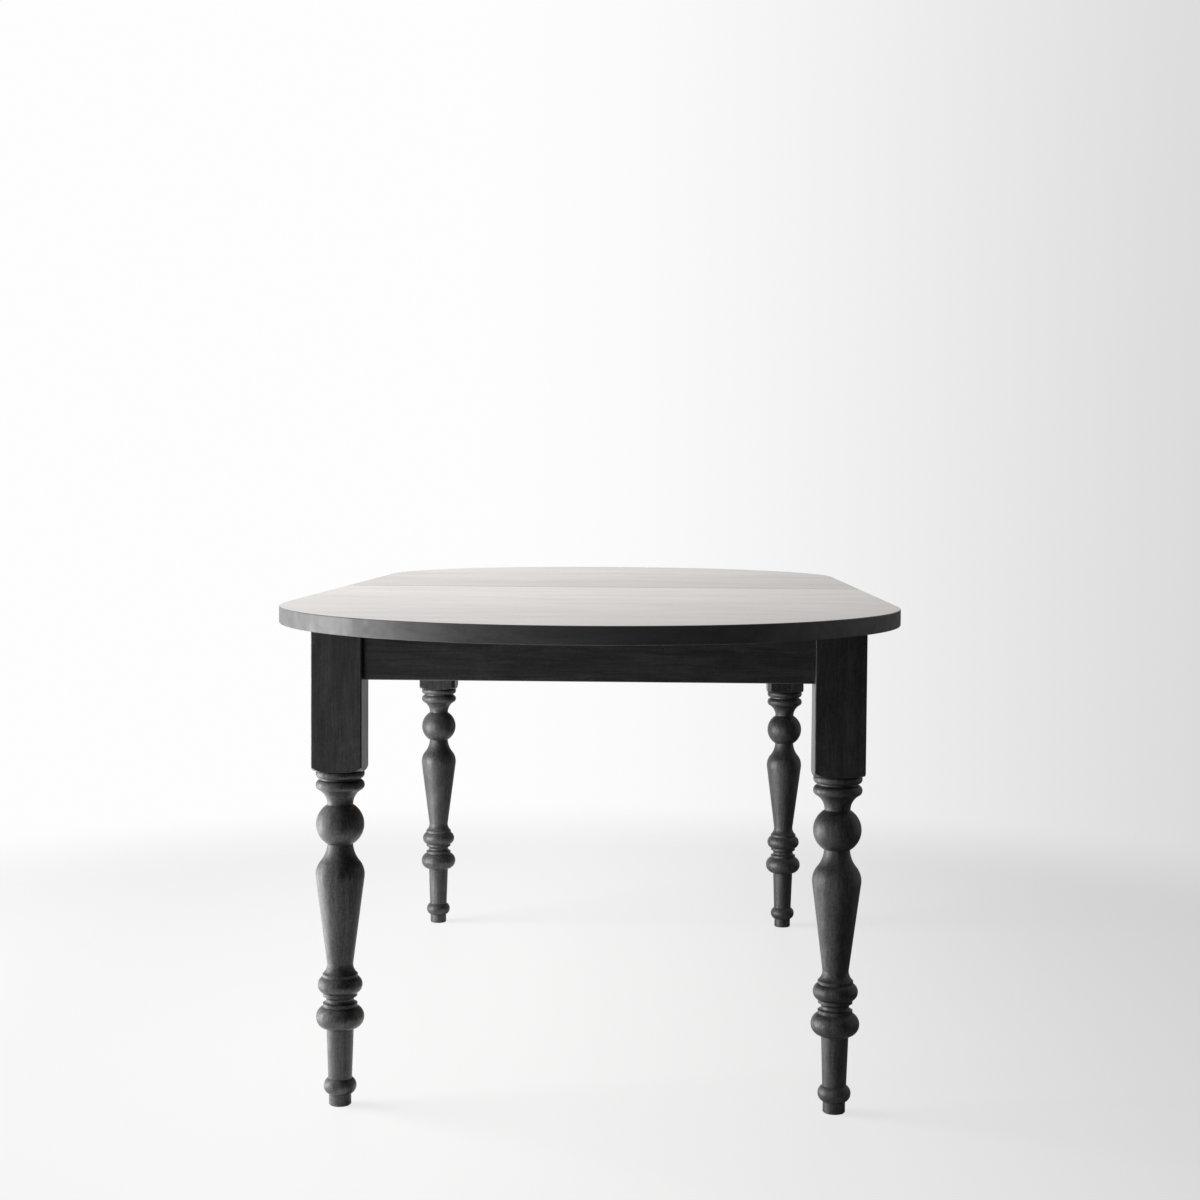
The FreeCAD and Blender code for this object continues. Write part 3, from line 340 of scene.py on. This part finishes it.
# Shares of mottle, wiped streaks and figure
LACQUER_ROUGHNESS_SHARES = (0.05, 0.04, 0.02)
LACQUER_ROUGHNESS = 0.05
LACQUER_BUMP = 0.012
LACQUER_RELIEF_DEPTH = 0.0002
BLOOM_WEIGHT = 0.1
BLOOM_ROUGHNESS = 0.35
BLOOM_TINT = (1.0, 0.86, 0.74, 1.0)


def black_top(name):
    """The lacquered top: staves glued edge to edge across the table, each with its own tone and grain."""
    material, tree, shader = new_finish(name)
    place = object_place(tree)
    axes = add(tree, "SeparateXYZ", {"Vector": place}).outputs
    stave = maths(tree, "FLOOR", maths(tree, "DIVIDE", axes[1], STAVE_WIDTH))
    lot = add(tree, "TexWhiteNoise", {"W": stave}, noise_dimensions="1D").outputs["Value"]
    shifted = blended(tree, (lot, axes[0]), (STAVE_SHIFT, 1.0))
    moved = add(tree, "CombineXYZ", {0: shifted, 1: axes[1], 2: axes[2]}).outputs[0]
    fibre = cloud(tree, along_grain(tree, "x", TOP_FIBRE_STRETCH, moved), TOP_FIBRE_SIZE, detail=3.0)
    figure_place = along_grain(tree, "x", TOP_FIGURE_STRETCH, moved)
    figure = cloud(tree, figure_place, TOP_FIGURE_SIZE, detail=4.0, distortion=1.0)
    mottle = cloud(tree, place, TOP_MOTTLE_SIZE, detail=4.0, roughness=0.6)
    wiped_place = along_grain(tree, "x", WIPED_STRETCH, place)
    wiped = cloud(tree, wiped_place, WIPED_SIZE, detail=4.0, roughness=0.6)
    tone = blended(tree, (figure, fibre, mottle, lot), TOP_TONE_SHARES)
    tone = maths(tree, "ADD", tone, TOP_TONE_LIFT)
    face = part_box("top_front")[1].z
    flat = eased(tree, axes[2], *(face - depth for depth in FACE_DEPTHS))
    colour = lightened(tree, tinted(tree, tone, *BLACK_STOPS), mixed(tree, flat, RIM_COLOUR, NO_COLOUR))
    roughness = blended(tree, (mottle, fibre, wiped), TOP_ROUGHNESS_SHARES)
    roughness = maths(tree, "ADD", roughness, TOP_ROUGHNESS)
    relief = blended(tree, (fibre, figure), TOP_RELIEF_SHARES)
    finish(tree, shader, colour, roughness, bumped(tree, relief, TOP_BUMP, TOP_RELIEF_DEPTH))
    tree.links.new(eased(tree, tone, *SHINE_EDGES, *SHINE_LEVELS), shader.inputs["Specular IOR Level"])
    ripple = bumped(tree, relief, LACQUER_BUMP, LACQUER_RELIEF_DEPTH)
    tree.links.new(ripple, shader.inputs["Coat Normal"])
    cover = lacquer_cover(tree, axes[1], wiped, mottle)
    tree.links.new(maths(tree, "MULTIPLY", flat, cover), shader.inputs["Coat Weight"])
    smooth = blended(tree, (mottle, wiped, figure), LACQUER_ROUGHNESS_SHARES)
    tree.links.new(maths(tree, "ADD", smooth, LACQUER_ROUGHNESS), shader.inputs["Coat Roughness"])
    tree.links.new(maths(tree, "MULTIPLY", flat, BLOOM_WEIGHT), shader.inputs["Sheen Weight"])
    shader.inputs["Sheen Roughness"].default_value = BLOOM_ROUGHNESS
    shader.inputs["Sheen Tint"].default_value = BLOOM_TINT
    return material


def lacquer_cover(tree, along, wiped, mottle):
    """How well lacquer covers the face: differently on each half, thin at the seam, less where wiped."""
    front = eased(tree, along, *FRONT_LACQUER)
    rear = eased(tree, along, *REAR_LACQUER)
    half = add(tree, "Mix", {0: maths(tree, "GREATER_THAN", along, 0.0), 2: front, 3: rear}).outputs[0]
    half = maths(tree, "MULTIPLY", half, eased(tree, maths(tree, "ABSOLUTE", along), *SEAM_LACQUER))
    return maths(tree, "ADD", blended(tree, (half, wiped, mottle), LACQUER_SHARES), LACQUER_LIFT)


# Bare wood and steel of the underside

RING_STRETCH = 12.0
BARE_FIBRE_SIZE = 0.0012
BARE_FIBRE_STRETCH = 30.0
PORE_SIZE = 0.0009
PORE_STRETCH = 14.0
PORE_EDGES = (0.66, 0.74)
# Shares of rings, fibre and pores
BARE_TONE_SHARES = (0.62, 0.38, -0.25)
BARE_TONE_STOPS = (0.26, 0.72)
# Shares of fibre, rings and pores
BARE_ROUGHNESS_SHARES = (0.14, 0.1, 0.1)
BARE_ROUGHNESS = 0.46
# Shares of fibre and pores
BARE_RELIEF_SHARES = (0.5, -0.5)
BARE_BUMP = 0.2
BARE_RELIEF_DEPTH = 0.0004

PLATING_SIZE = 0.006
PLATING_STOPS = (0.3, 0.7)
BRUSHING_SIZE = 0.0005
# Shares of the plating's gloss and the brushing
STEEL_ROUGHNESS_SHARES = (1.0, 0.08)
STEEL_BUMP = 0.08
STEEL_RELIEF_DEPTH = 0.0001


def pale_wood(name, grain, dark, light, ring_size):
    """Bare hardwood: growth rings and fibres along the grain, short pores, planed but not lacquered."""
    material, tree, shader = new_finish(name)
    place = object_place(tree)
    rings = cloud(tree, along_grain(tree, grain, RING_STRETCH, place), ring_size, detail=3.0, distortion=1.4)
    fibre = cloud(tree, along_grain(tree, grain, BARE_FIBRE_STRETCH, place), BARE_FIBRE_SIZE, detail=2.0)
    pores = cloud(tree, along_grain(tree, grain, PORE_STRETCH, place), PORE_SIZE, detail=1.0)
    pore = eased(tree, pores, *PORE_EDGES)
    tone = blended(tree, (rings, fibre, pore), BARE_TONE_SHARES)
    colour = tinted(tree, tone, *zip(BARE_TONE_STOPS, (dark, light)))
    roughness = blended(tree, (fibre, rings, pore), BARE_ROUGHNESS_SHARES)
    roughness = maths(tree, "ADD", roughness, BARE_ROUGHNESS)
    relief = blended(tree, (fibre, pore), BARE_RELIEF_SHARES)
    finish(tree, shader, colour, roughness, bumped(tree, relief, BARE_BUMP, BARE_RELIEF_DEPTH))
    return material


def steel(name, dark, light, gloss, brushing):
    """Plated steel: a metal with a faintly uneven plating, dulled in patches and finely brushed."""
    material, tree, shader = new_finish(name)
    place = object_place(tree)
    plating = cloud(tree, place, PLATING_SIZE, detail=4.0, roughness=0.6)
    brushed = cloud(tree, along_grain(tree, "x", brushing, place), BRUSHING_SIZE, detail=2.0)
    colour = tinted(tree, plating, *zip(PLATING_STOPS, (dark, light)))
    dulled = eased(tree, plating, *PLATING_STOPS, *gloss)
    roughness = blended(tree, (dulled, brushed), STEEL_ROUGHNESS_SHARES)
    shader.inputs["Metallic"].default_value = 1.0
    finish(tree, shader, colour, roughness, bumped(tree, brushed, STEEL_BUMP, STEEL_RELIEF_DEPTH))
    return material


# Finishes of this table and where they go

leg_black = black_wood("leg_black", "z", gloss=(0.22, 0.30), fibre_bump=0.16,
                       rubbing=rubbed_crests, turned_below=TURNED_BELOW)
side_apron_black = black_wood("side_apron_black", "y", gloss=(0.26, 0.34), fibre_bump=0.18)
end_apron_black = black_wood("end_apron_black", "x", gloss=(0.26, 0.34), fibre_bump=0.18)
top_black = black_top("top_black")
# Name, grain, dark colour, light colour, size of the growth rings
block_pine = pale_wood("block_pine", "z", (0.40, 0.25, 0.12), (0.66, 0.48, 0.28), 0.006)
slide_beech = pale_wood("slide_beech", "y", (0.38, 0.22, 0.11), (0.58, 0.39, 0.22), 0.009)
button_beech = pale_wood("button_beech", "x", (0.36, 0.21, 0.10), (0.56, 0.37, 0.21), 0.007)
dowel_birch = pale_wood("dowel_birch", "y", (0.50, 0.34, 0.19), (0.70, 0.54, 0.36), 0.004)
# Name, dark colour, light colour, roughness from bright to dull patches, stretch of the brushing
zinc = steel("zinc", (0.50, 0.50, 0.48), (0.66, 0.66, 0.67), (0.26, 0.40), 3.0)
lock_plating = steel("lock_plating", (0.42, 0.42, 0.41), (0.56, 0.56, 0.56), (0.30, 0.44), 18.0)

# By the start of a node's name; the first that fits is taken
FINISH_BY_NAME = (
    ("top_buttons", button_beech),
    ("top_", top_black),
    ("leg_", leg_black),
    ("apron_front_end", end_apron_black),
    ("apron_rear_end", end_apron_black),
    ("apron_", side_apron_black),
    ("corner_block", block_pine),
    ("slide_screws", zinc),
    ("slide_stop_pegs", dowel_birch),
    ("slide_", slide_beech),
    ("alignment_pins", dowel_birch),
    ("lock_", lock_plating),
    ("", zinc),
)


def dress(node_name, node):
    """Give a CAD node the finish that its name calls for."""
    chosen = next(material for start, material in FINISH_BY_NAME if node_name.startswith(start))
    for place in node.material_slots:
        place.material = chosen


for node_name, node in frame["nodes"].items():
    dress(node_name, node)


# Steel fasteners with their threads and recesses

MACHINE_PITCH = 0.00125
MACHINE_DEPTH = 0.0007
LAG_PITCH = 0.003
LAG_DEPTH = 0.0009
LAG_SHARE = 0.52
ROD_CHAMFER = 0.0008
ROD_POINT_SLOPE = 0.45
WOOD_SCREW_PITCH = 0.0021
WOOD_SCREW_DEPTH_SHARE = 0.26
WOOD_SCREW_TIP = 0.0002
# A thread's flank: its steepness against a plain triangle wave, and how far its root is cut off
FLANK_STEEPNESS = 1.5
FLANK_ROOT_SHARE = 0.25
ROWS_PER_TURN = 6
ROUND_COLUMNS = 32
HEAD_ROWS = 12
HEAD_CROWN_SHARE = 0.3
HEAD_CROWN_POWER = 3
# What counts as head and as shank, as shares of the head's radius
HEAD_SHARE = 0.98
SHANK_SHARE = 0.8
RECESS_DEPTH_SHARE = 0.62
RECESS_ARM_SHARE = 0.62
RECESS_WIDTH_SHARE = 0.2
RECESS_FLANK = 1.6
RECESS_END_SHARE = 0.12
NUT_COLUMNS = 72
NUT_FACE_SHARE = 0.96
NUT_CHAMFER_SHARES = (0.0, 1 / 3, 2 / 3, 1.0)
SHARP_ANGLE = math.radians(40.0)
# An axis that rises by more than this share of its length counts as upright
NEARLY_UPRIGHT = 0.9
# Points of a CAD mesh that agree to this many decimals of a metre are one point
MERGE_DECIMALS = 6


def solids_of(node_name):
    """The points of each separate solid of a node: triangles that share a corner belong together."""
    mesh = frame["nodes"][node_name].data
    points = np.empty(len(mesh.vertices) * 3)
    mesh.vertices.foreach_get("co", points)
    corners = np.empty(len(mesh.loops), dtype=np.int64)
    mesh.loops.foreach_get("vertex_index", corners)
    places, merged = np.unique(points.reshape(-1, 3).round(MERGE_DECIMALS), axis=0, return_inverse=True)
    triangles = merged.ravel()[corners].reshape(-1, 3)
    label = np.arange(len(places))
    settled = False
    while not settled:
        least = label.copy()
        np.minimum.at(least, triangles.ravel(), np.repeat(label[triangles].min(1), 3))
        settled = bool((least == label).all())
        label = least
    return [places[label == name] for name in np.unique(label)]


def skin(origin, axis, radius, height):
    """Points of a skin about an axis: row i, column j lies radius[i, j] out and height[i, j] along it."""
    axis = np.asarray(axis, float)
    up = np.array([0.0, 0.0, 1.0]) if abs(axis[2]) < NEARLY_UPRIGHT else np.array([0.0, 1.0, 0.0])
    across = np.cross(up, axis)
    across /= np.linalg.norm(across)
    rise = np.cross(axis, across)
    turn = np.arange(radius.shape[1]) * 2 * np.pi / radius.shape[1]
    round_about = np.cos(turn)[:, None] * across + np.sin(turn)[:, None] * rise
    return np.asarray(origin) + radius[..., None] * round_about + height[..., None] * axis


def ring_quads(rows, columns, wrapped):
    """Quads between neighbouring rings of points; wrapped joins the last ring to the first."""
    row, column = np.meshgrid(np.arange(rows if wrapped else rows - 1), np.arange(columns), indexing="ij")
    beside = (column + 1) % columns
    above = (row + 1) % rows
    corners = [row * columns + column, row * columns + beside,
               above * columns + beside, above * columns + column]
    return np.stack(corners, -1).reshape(-1, 4)


def capped(rings):
    """Vertices and faces of a closed rod over rings of points, with a fan at each end."""
    rows, columns, _ = rings.shape
    poles = np.stack([rings[0].mean(0), rings[-1].mean(0)])
    column = np.arange(columns)
    beside = (column + 1) % columns
    first = np.full(columns, rows * columns)
    top = (rows - 1) * columns
    fans = np.concatenate([np.stack([first, beside, column], -1),
                           np.stack([first + 1, top + column, top + beside], -1)])
    faces = ring_quads(rows, columns, False).tolist() + fans.tolist()
    return np.concatenate([rings.reshape(-1, 3), poles]), faces


def piece(name, shells, material, body, replaced):
    """One mesh object from closed shells, riding on a body in the place of a CAD node."""
    vertices = []
    faces = []
    for shell_vertices, shell_faces in shells:
        start = sum(len(part) for part in vertices)
        vertices.append(shell_vertices)
        faces += [[start + index for index in face] for face in shell_faces]
    mesh = bpy.data.meshes.new(name)
    mesh.from_pydata(np.concatenate(vertices).tolist(), [], faces)
    mesh.shade_smooth()
    mesh.set_sharp_from_angle(angle=SHARP_ANGLE)
    mesh.materials.append(material)
    made = bpy.data.objects.new(name, mesh)
    bpy.context.scene.collection.objects.link(made)
    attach(made, body)
    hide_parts(replaced)


def thread(height, pitch, columns):
    """Height of a helical ridge from 0 to 1: a flat-crested triangle wave of the turn and the way along."""
    turn = np.arange(columns) / columns
    wave = np.abs(((height[:, None] / pitch - turn) % 1.0) * 2 - 1)
    return np.clip(wave * FLANK_STEEPNESS - FLANK_ROOT_SHARE, 0.0, 1.0)


def toward_corner(middle):
    """The way from a leg's fastener to the middle of the table: level, half way between two aprons."""
    return -np.array([np.sign(middle[0]), np.sign(middle[1]), 0.0]) / math.sqrt(2)


def hanger_bolt(points):
    """A rod: a coarse wood thread in the leg, a machine thread in the block, a point and a bevelled end."""
    middle = points.mean(0)
    axis = toward_corner(middle)
    along = (points - middle) @ axis
    start = middle + along.min() * axis
    length = np.ptp(along)
    radius = np.ptp(points[:, 2]) / 2
    start[2] = (points[:, 2].max() + points[:, 2].min()) / 2
    lag = length * LAG_SHARE
    lag_rows = np.linspace(0, lag, int(lag / LAG_PITCH * ROWS_PER_TURN))
    machine_rows = np.linspace(lag, length, int((length - lag) / MACHINE_PITCH * ROWS_PER_TURN))
    height = np.concatenate([lag_rows, machine_rows[1:]])
    coarse = radius - LAG_DEPTH * (1 - thread(height, LAG_PITCH, ROUND_COLUMNS))
    fine = radius - MACHINE_DEPTH * (1 - thread(height, MACHINE_PITCH, ROUND_COLUMNS))
    rod = np.where(height[:, None] < lag, coarse, fine)
    pointed = (height[:, None] + ROD_CHAMFER) * ROD_POINT_SLOPE
    bevelled = radius - ROD_CHAMFER + (length - height[:, None])
    rod = np.minimum(np.minimum(rod, pointed), bevelled)
    return capped(skin(start, axis, rod, np.broadcast_to(height[:, None], rod.shape)))


def hex_nut(points):
    """A six-sided nut with its corners turned off: the lesser of the hexagon and a cone from each face."""
    middle = (points.max(0) + points.min(0)) / 2
    axis = toward_corner(middle)
    along = (points - middle) @ axis
    thickness = np.ptp(along)
    corner = np.ptp(points[:, 2]) / 2
    bore = np.linalg.norm((points - middle) - np.outer(along, axis), axis=1).min()
    flat = corner * math.cos(math.pi / 6)
    turn = np.arange(NUT_COLUMNS) * 2 * np.pi / NUT_COLUMNS
    hexagon = flat / np.cos((turn - np.pi / 2) % (np.pi / 3) - np.pi / 6)
    face = flat * NUT_FACE_SHARE
    depths = np.array(NUT_CHAMFER_SHARES) * (corner - face) / math.sqrt(3)
    side = np.concatenate([depths, thickness - depths[::-1]])
    nearest = np.minimum(side, thickness - side)
    outer = np.minimum(hexagon, face + nearest[:, None] * math.sqrt(3))
    inner = np.full((1, NUT_COLUMNS), bore)
    radius = np.concatenate([inner, outer, inner])
    height = np.concatenate([[0.0], side, [thickness]])
    rings = skin(middle - axis * thickness / 2, axis, radius, np.broadcast_to(height[:, None], radius.shape))
    return rings.reshape(-1, 3), ring_quads(len(height), NUT_COLUMNS, True).tolist()


def recess_arm(aside, outward):
    """Depth from 0 to 1 of one arm of a cross recess: it falls off aside of its line and at its ends."""
    across = np.clip(RECESS_FLANK - np.abs(aside) / RECESS_WIDTH_SHARE, 0.0, 1.0)
    ends = np.clip((RECESS_ARM_SHARE - np.abs(outward)) / RECESS_END_SHARE, 0.0, 1.0)
    return across * ends


def screw_head(radius, height):
    """Radii and heights of a head's rows: a crown by the cube of the way out, sunk by a cross, and a rim."""
    share = np.linspace(1.0 / HEAD_ROWS, 1.0, HEAD_ROWS)[:, None]
    turn = np.arange(ROUND_COLUMNS) * 2 * np.pi / ROUND_COLUMNS
    x = share * np.cos(turn)
    y = share * np.sin(turn)
    crown = height * HEAD_CROWN_SHARE
    dome = crown * np.broadcast_to(share, x.shape) ** HEAD_CROWN_POWER
    sunk = height * RECESS_DEPTH_SHARE * np.maximum(recess_arm(x, y), recess_arm(y, x))
    rim = np.full((2, ROUND_COLUMNS), radius)
    rim_height = np.array([[(crown + height) / 2], [height]])
    radii = np.concatenate([np.broadcast_to(share * radius, x.shape), rim])
    return radii, np.concatenate([dome + sunk, np.broadcast_to(rim_height, rim.shape)])


def screw(points):
    """A pan-head wood screw: a crowned head sunk by a cross, and a threaded shank that ends in a point."""
    low = points.min(0)
    high = points.max(0)
    along = int(np.argmax(high - low))
    middle = (low + high) / 2
    out = np.linalg.norm(np.delete(points - middle, along, axis=1), axis=1)
    head_radius = out.max()
    shank_radius = np.median(out[out < head_radius * SHANK_SHARE])
    wide = points[out > head_radius * HEAD_SHARE, along]
    way = 1.0 if wide.mean() < middle[along] else -1.0
    start = middle.copy()
    start[along] = low[along] if way > 0 else high[along]
    head_height = np.ptp(wide)
    length = high[along] - low[along]
    head_rows, head_heights = screw_head(head_radius, head_height)
    turns = (length - head_height) / WOOD_SCREW_PITCH
    shank_height = np.linspace(head_height, length, int(turns * ROWS_PER_TURN))
    depth = shank_radius * WOOD_SCREW_DEPTH_SHARE
    shank = shank_radius - depth * (1 - thread(shank_height, WOOD_SCREW_PITCH, ROUND_COLUMNS))
    shank = np.minimum(shank, (length - shank_height[:, None]) * ROD_POINT_SLOPE + WOOD_SCREW_TIP)
    radius = np.concatenate([head_rows, shank])
    height = np.concatenate([head_heights, np.broadcast_to(shank_height[:, None], shank.shape)])
    return capped(skin(start, np.eye(3)[along] * way, radius, height))


FASTENERS = (
    ("hanger_bolts_", hanger_bolt),
    ("bolt_nuts_", hex_nut),
    ("block_screws_", screw),
    ("button_screws_", screw),
    ("slide_screws_", screw),
    ("lock_screws_", screw),
)


def make_fastener_group(node_name, shape, body):
    """The fasteners of one node, each worked out from its plain solid, as one detailed piece."""
    material, slot = (lock_plating, "lock_steel") if node_name.startswith("lock_") else (zinc, "zinc_steel")
    shells = [shape(points) for points in solids_of(node_name)]
    piece(node_name + "_detail", shells, material, body, node_name)


body_of = {name: body for body, names in frame["record"]["behaviour"]["bodies"].items() for name in names}
for node_name in sorted(frame["nodes"]):
    for start, shape in FASTENERS:
        if node_name.startswith(start):
            make_fastener_group(node_name, shape, body_of[node_name])


# Floor, light and camera

def paint_floor():
    """Pale paint that glows for the eye, painted darker near the window and glowing less away from it as
    painted window light; for the light, paint painted lit near the window and painted shade away from it;
    clear far away and from below.
    """
    material, tree, shader = new_finish("floor_paint")
    place = object_place(tree)
    axes = add(tree, "SeparateXYZ", {"Vector": place}).outputs
    path = add(tree, "LightPath").outputs
    seen = path["Is Camera Ray"]
    aside = eased(tree, axes[0], *FLOOR_LIT_EDGES)
    given_back = mixed(tree, aside, FLOOR_LIT_COLOUR, FLOOR_SHADED_COLOUR)
    # Painted shade: darker paint near the window offsets its pool of light
    from_window = eased(tree, axes[0], *FLOOR_COLOUR_EDGES)
    shown = mixed(tree, from_window, FLOOR_NEAR_WINDOW_COLOUR, FLOOR_COLOUR)
    tree.links.new(mixed(tree, seen, given_back, shown), shader.inputs["Base Color"])
    shader.inputs["Roughness"].default_value = FLOOR_ROUGHNESS
    # Painted light: the glow fades from the window side towards the right
    glow = add(tree, "Emission", {"Strength": eased(tree, axes[0], *FLOOR_GLOW_EDGES, *FLOOR_GLOW_TONES)})
    share = maths(tree, "MULTIPLY", seen, FLOOR_GLOW_SHARE)
    paint = add(tree, "MixShader", {0: share, 1: shader.outputs[0], 2: glow.outputs[0]})
    away = add(tree, "VectorMath", {0: place}, operation="LENGTH").outputs["Value"]
    dim = maths(tree, "MULTIPLY", path["Is Glossy Ray"], eased(tree, axes[1], *FLOOR_DIM_EDGES))
    beneath = add(tree, "NewGeometry").outputs["Backfacing"]
    gone = maths(tree, "MAXIMUM", maths(tree, "MAXIMUM", dim, beneath), eased(tree, away, *FLOOR_FADE))
    clear = add(tree, "BsdfTransparent")
    thinned = add(tree, "MixShader", {0: gone, 1: paint.outputs[0], 2: clear.outputs[0]})
    tree.links.new(thinned.outputs[0], tree.nodes["Material Output"].inputs["Surface"])
    return material


def make_floor():
    """A round pale floor just under the feet."""
    turn = np.arange(FLOOR_SIDES) * 2 * np.pi / FLOOR_SIDES
    level = np.full(FLOOR_SIDES, -FLOOR_DROP)
    rim = np.stack([np.cos(turn) * FLOOR_RADIUS, np.sin(turn) * FLOOR_RADIUS, level], -1)
    mesh = bpy.data.meshes.new("floor")
    mesh.from_pydata(rim.tolist(), [], [list(range(FLOOR_SIDES))])
    mesh.materials.append(paint_floor())
    floor = bpy.data.objects.new("floor", mesh)
    bpy.context.scene.collection.objects.link(floor)


def light_studio():
    """A pale studio for the eye, one with an unlit side for reflections, and an even fill for the rest."""
    world = bpy.data.worlds.new("studio")
    bpy.context.scene.world = world
    world.use_nodes = True
    tree = world.node_tree
    axes = add(tree, "SeparateXYZ", {"Vector": add(tree, "TexCoord").outputs["Generated"]}).outputs
    pale = eased(tree, axes[0], *STUDIO_EDGES, *STUDIO_TONES)
    shaded = eased(tree, axes[0], *GLOSS_EDGES, *GLOSS_TONES)
    toward_light = blended(tree, (axes[1], axes[0]), (UNLIT_LEAN, -1.0))
    lit = eased(tree, toward_light, *UNLIT_EDGES)
    unlit = eased(tree, axes[1], *UNLIT_SIDES, *UNLIT_TONES)
    seen_in_gloss = add(tree, "Mix", {0: lit, 2: unlit, 3: shaded}).outputs[0]
    path = add(tree, "LightPath").outputs
    mirrored = maths(tree, "MAXIMUM", path["Is Glossy Ray"], path["Is Transmission Ray"])
    unseen = add(tree, "Mix", {0: mirrored, 2: FILL_TONE, 3: seen_in_gloss}).outputs[0]
    tone = add(tree, "Mix", {0: path["Is Camera Ray"], 2: unseen, 3: pale}).outputs[0]
    tree.links.new(tone, tree.nodes["Background"].inputs["Strength"])
    tree.nodes["Background"].inputs["Color"].default_value = STUDIO_COLOUR


def light_window(name, low, high, watts, mirrored):
    """One band of a tall window on the left: daylight, or only its gleam on smooth surfaces."""
    lamp = bpy.data.lights.new(name, "AREA")
    lamp.shape = "RECTANGLE"
    lamp.size = high - low
    lamp.size_y = WINDOW_LENGTH
    lamp.energy = watts * (high - low) * WINDOW_LENGTH
    window = bpy.data.objects.new(name, lamp)
    window.location = (*WINDOW_PLACE, (low + high) / 2)
    window.rotation_euler = (0.0, -math.pi / 2, 0.0)
    window.visible_camera = False
    window.visible_glossy = mirrored
    window.visible_diffuse = not mirrored
    bpy.context.scene.collection.objects.link(window)


def make_camera():
    """The camera of the photograph: turned to its heading, tipped to its pitch, rolled about its own axis."""
    camera = bpy.data.objects.new("camera", bpy.data.cameras.new("camera"))
    camera.data.lens = CAMERA_LENS_MM
    camera.data.sensor_width = CAMERA_SENSOR_MM
    heading = Matrix.Rotation(-CAMERA_YAW, 4, "Z")
    tip = Matrix.Rotation(math.pi / 2 + CAMERA_PITCH, 4, "X")
    roll = Matrix.Rotation(-CAMERA_ROLL, 4, "Z")
    camera.matrix_world = Matrix.Translation(CAMERA_PLACE) @ heading @ tip @ roll
    bpy.context.scene.collection.objects.link(camera)
    bpy.context.scene.camera = camera


make_floor()
light_studio()
for band in WINDOW_BANDS:
    light_window(*band)
make_camera()
bpy.context.scene.view_settings.view_transform = "Standard"
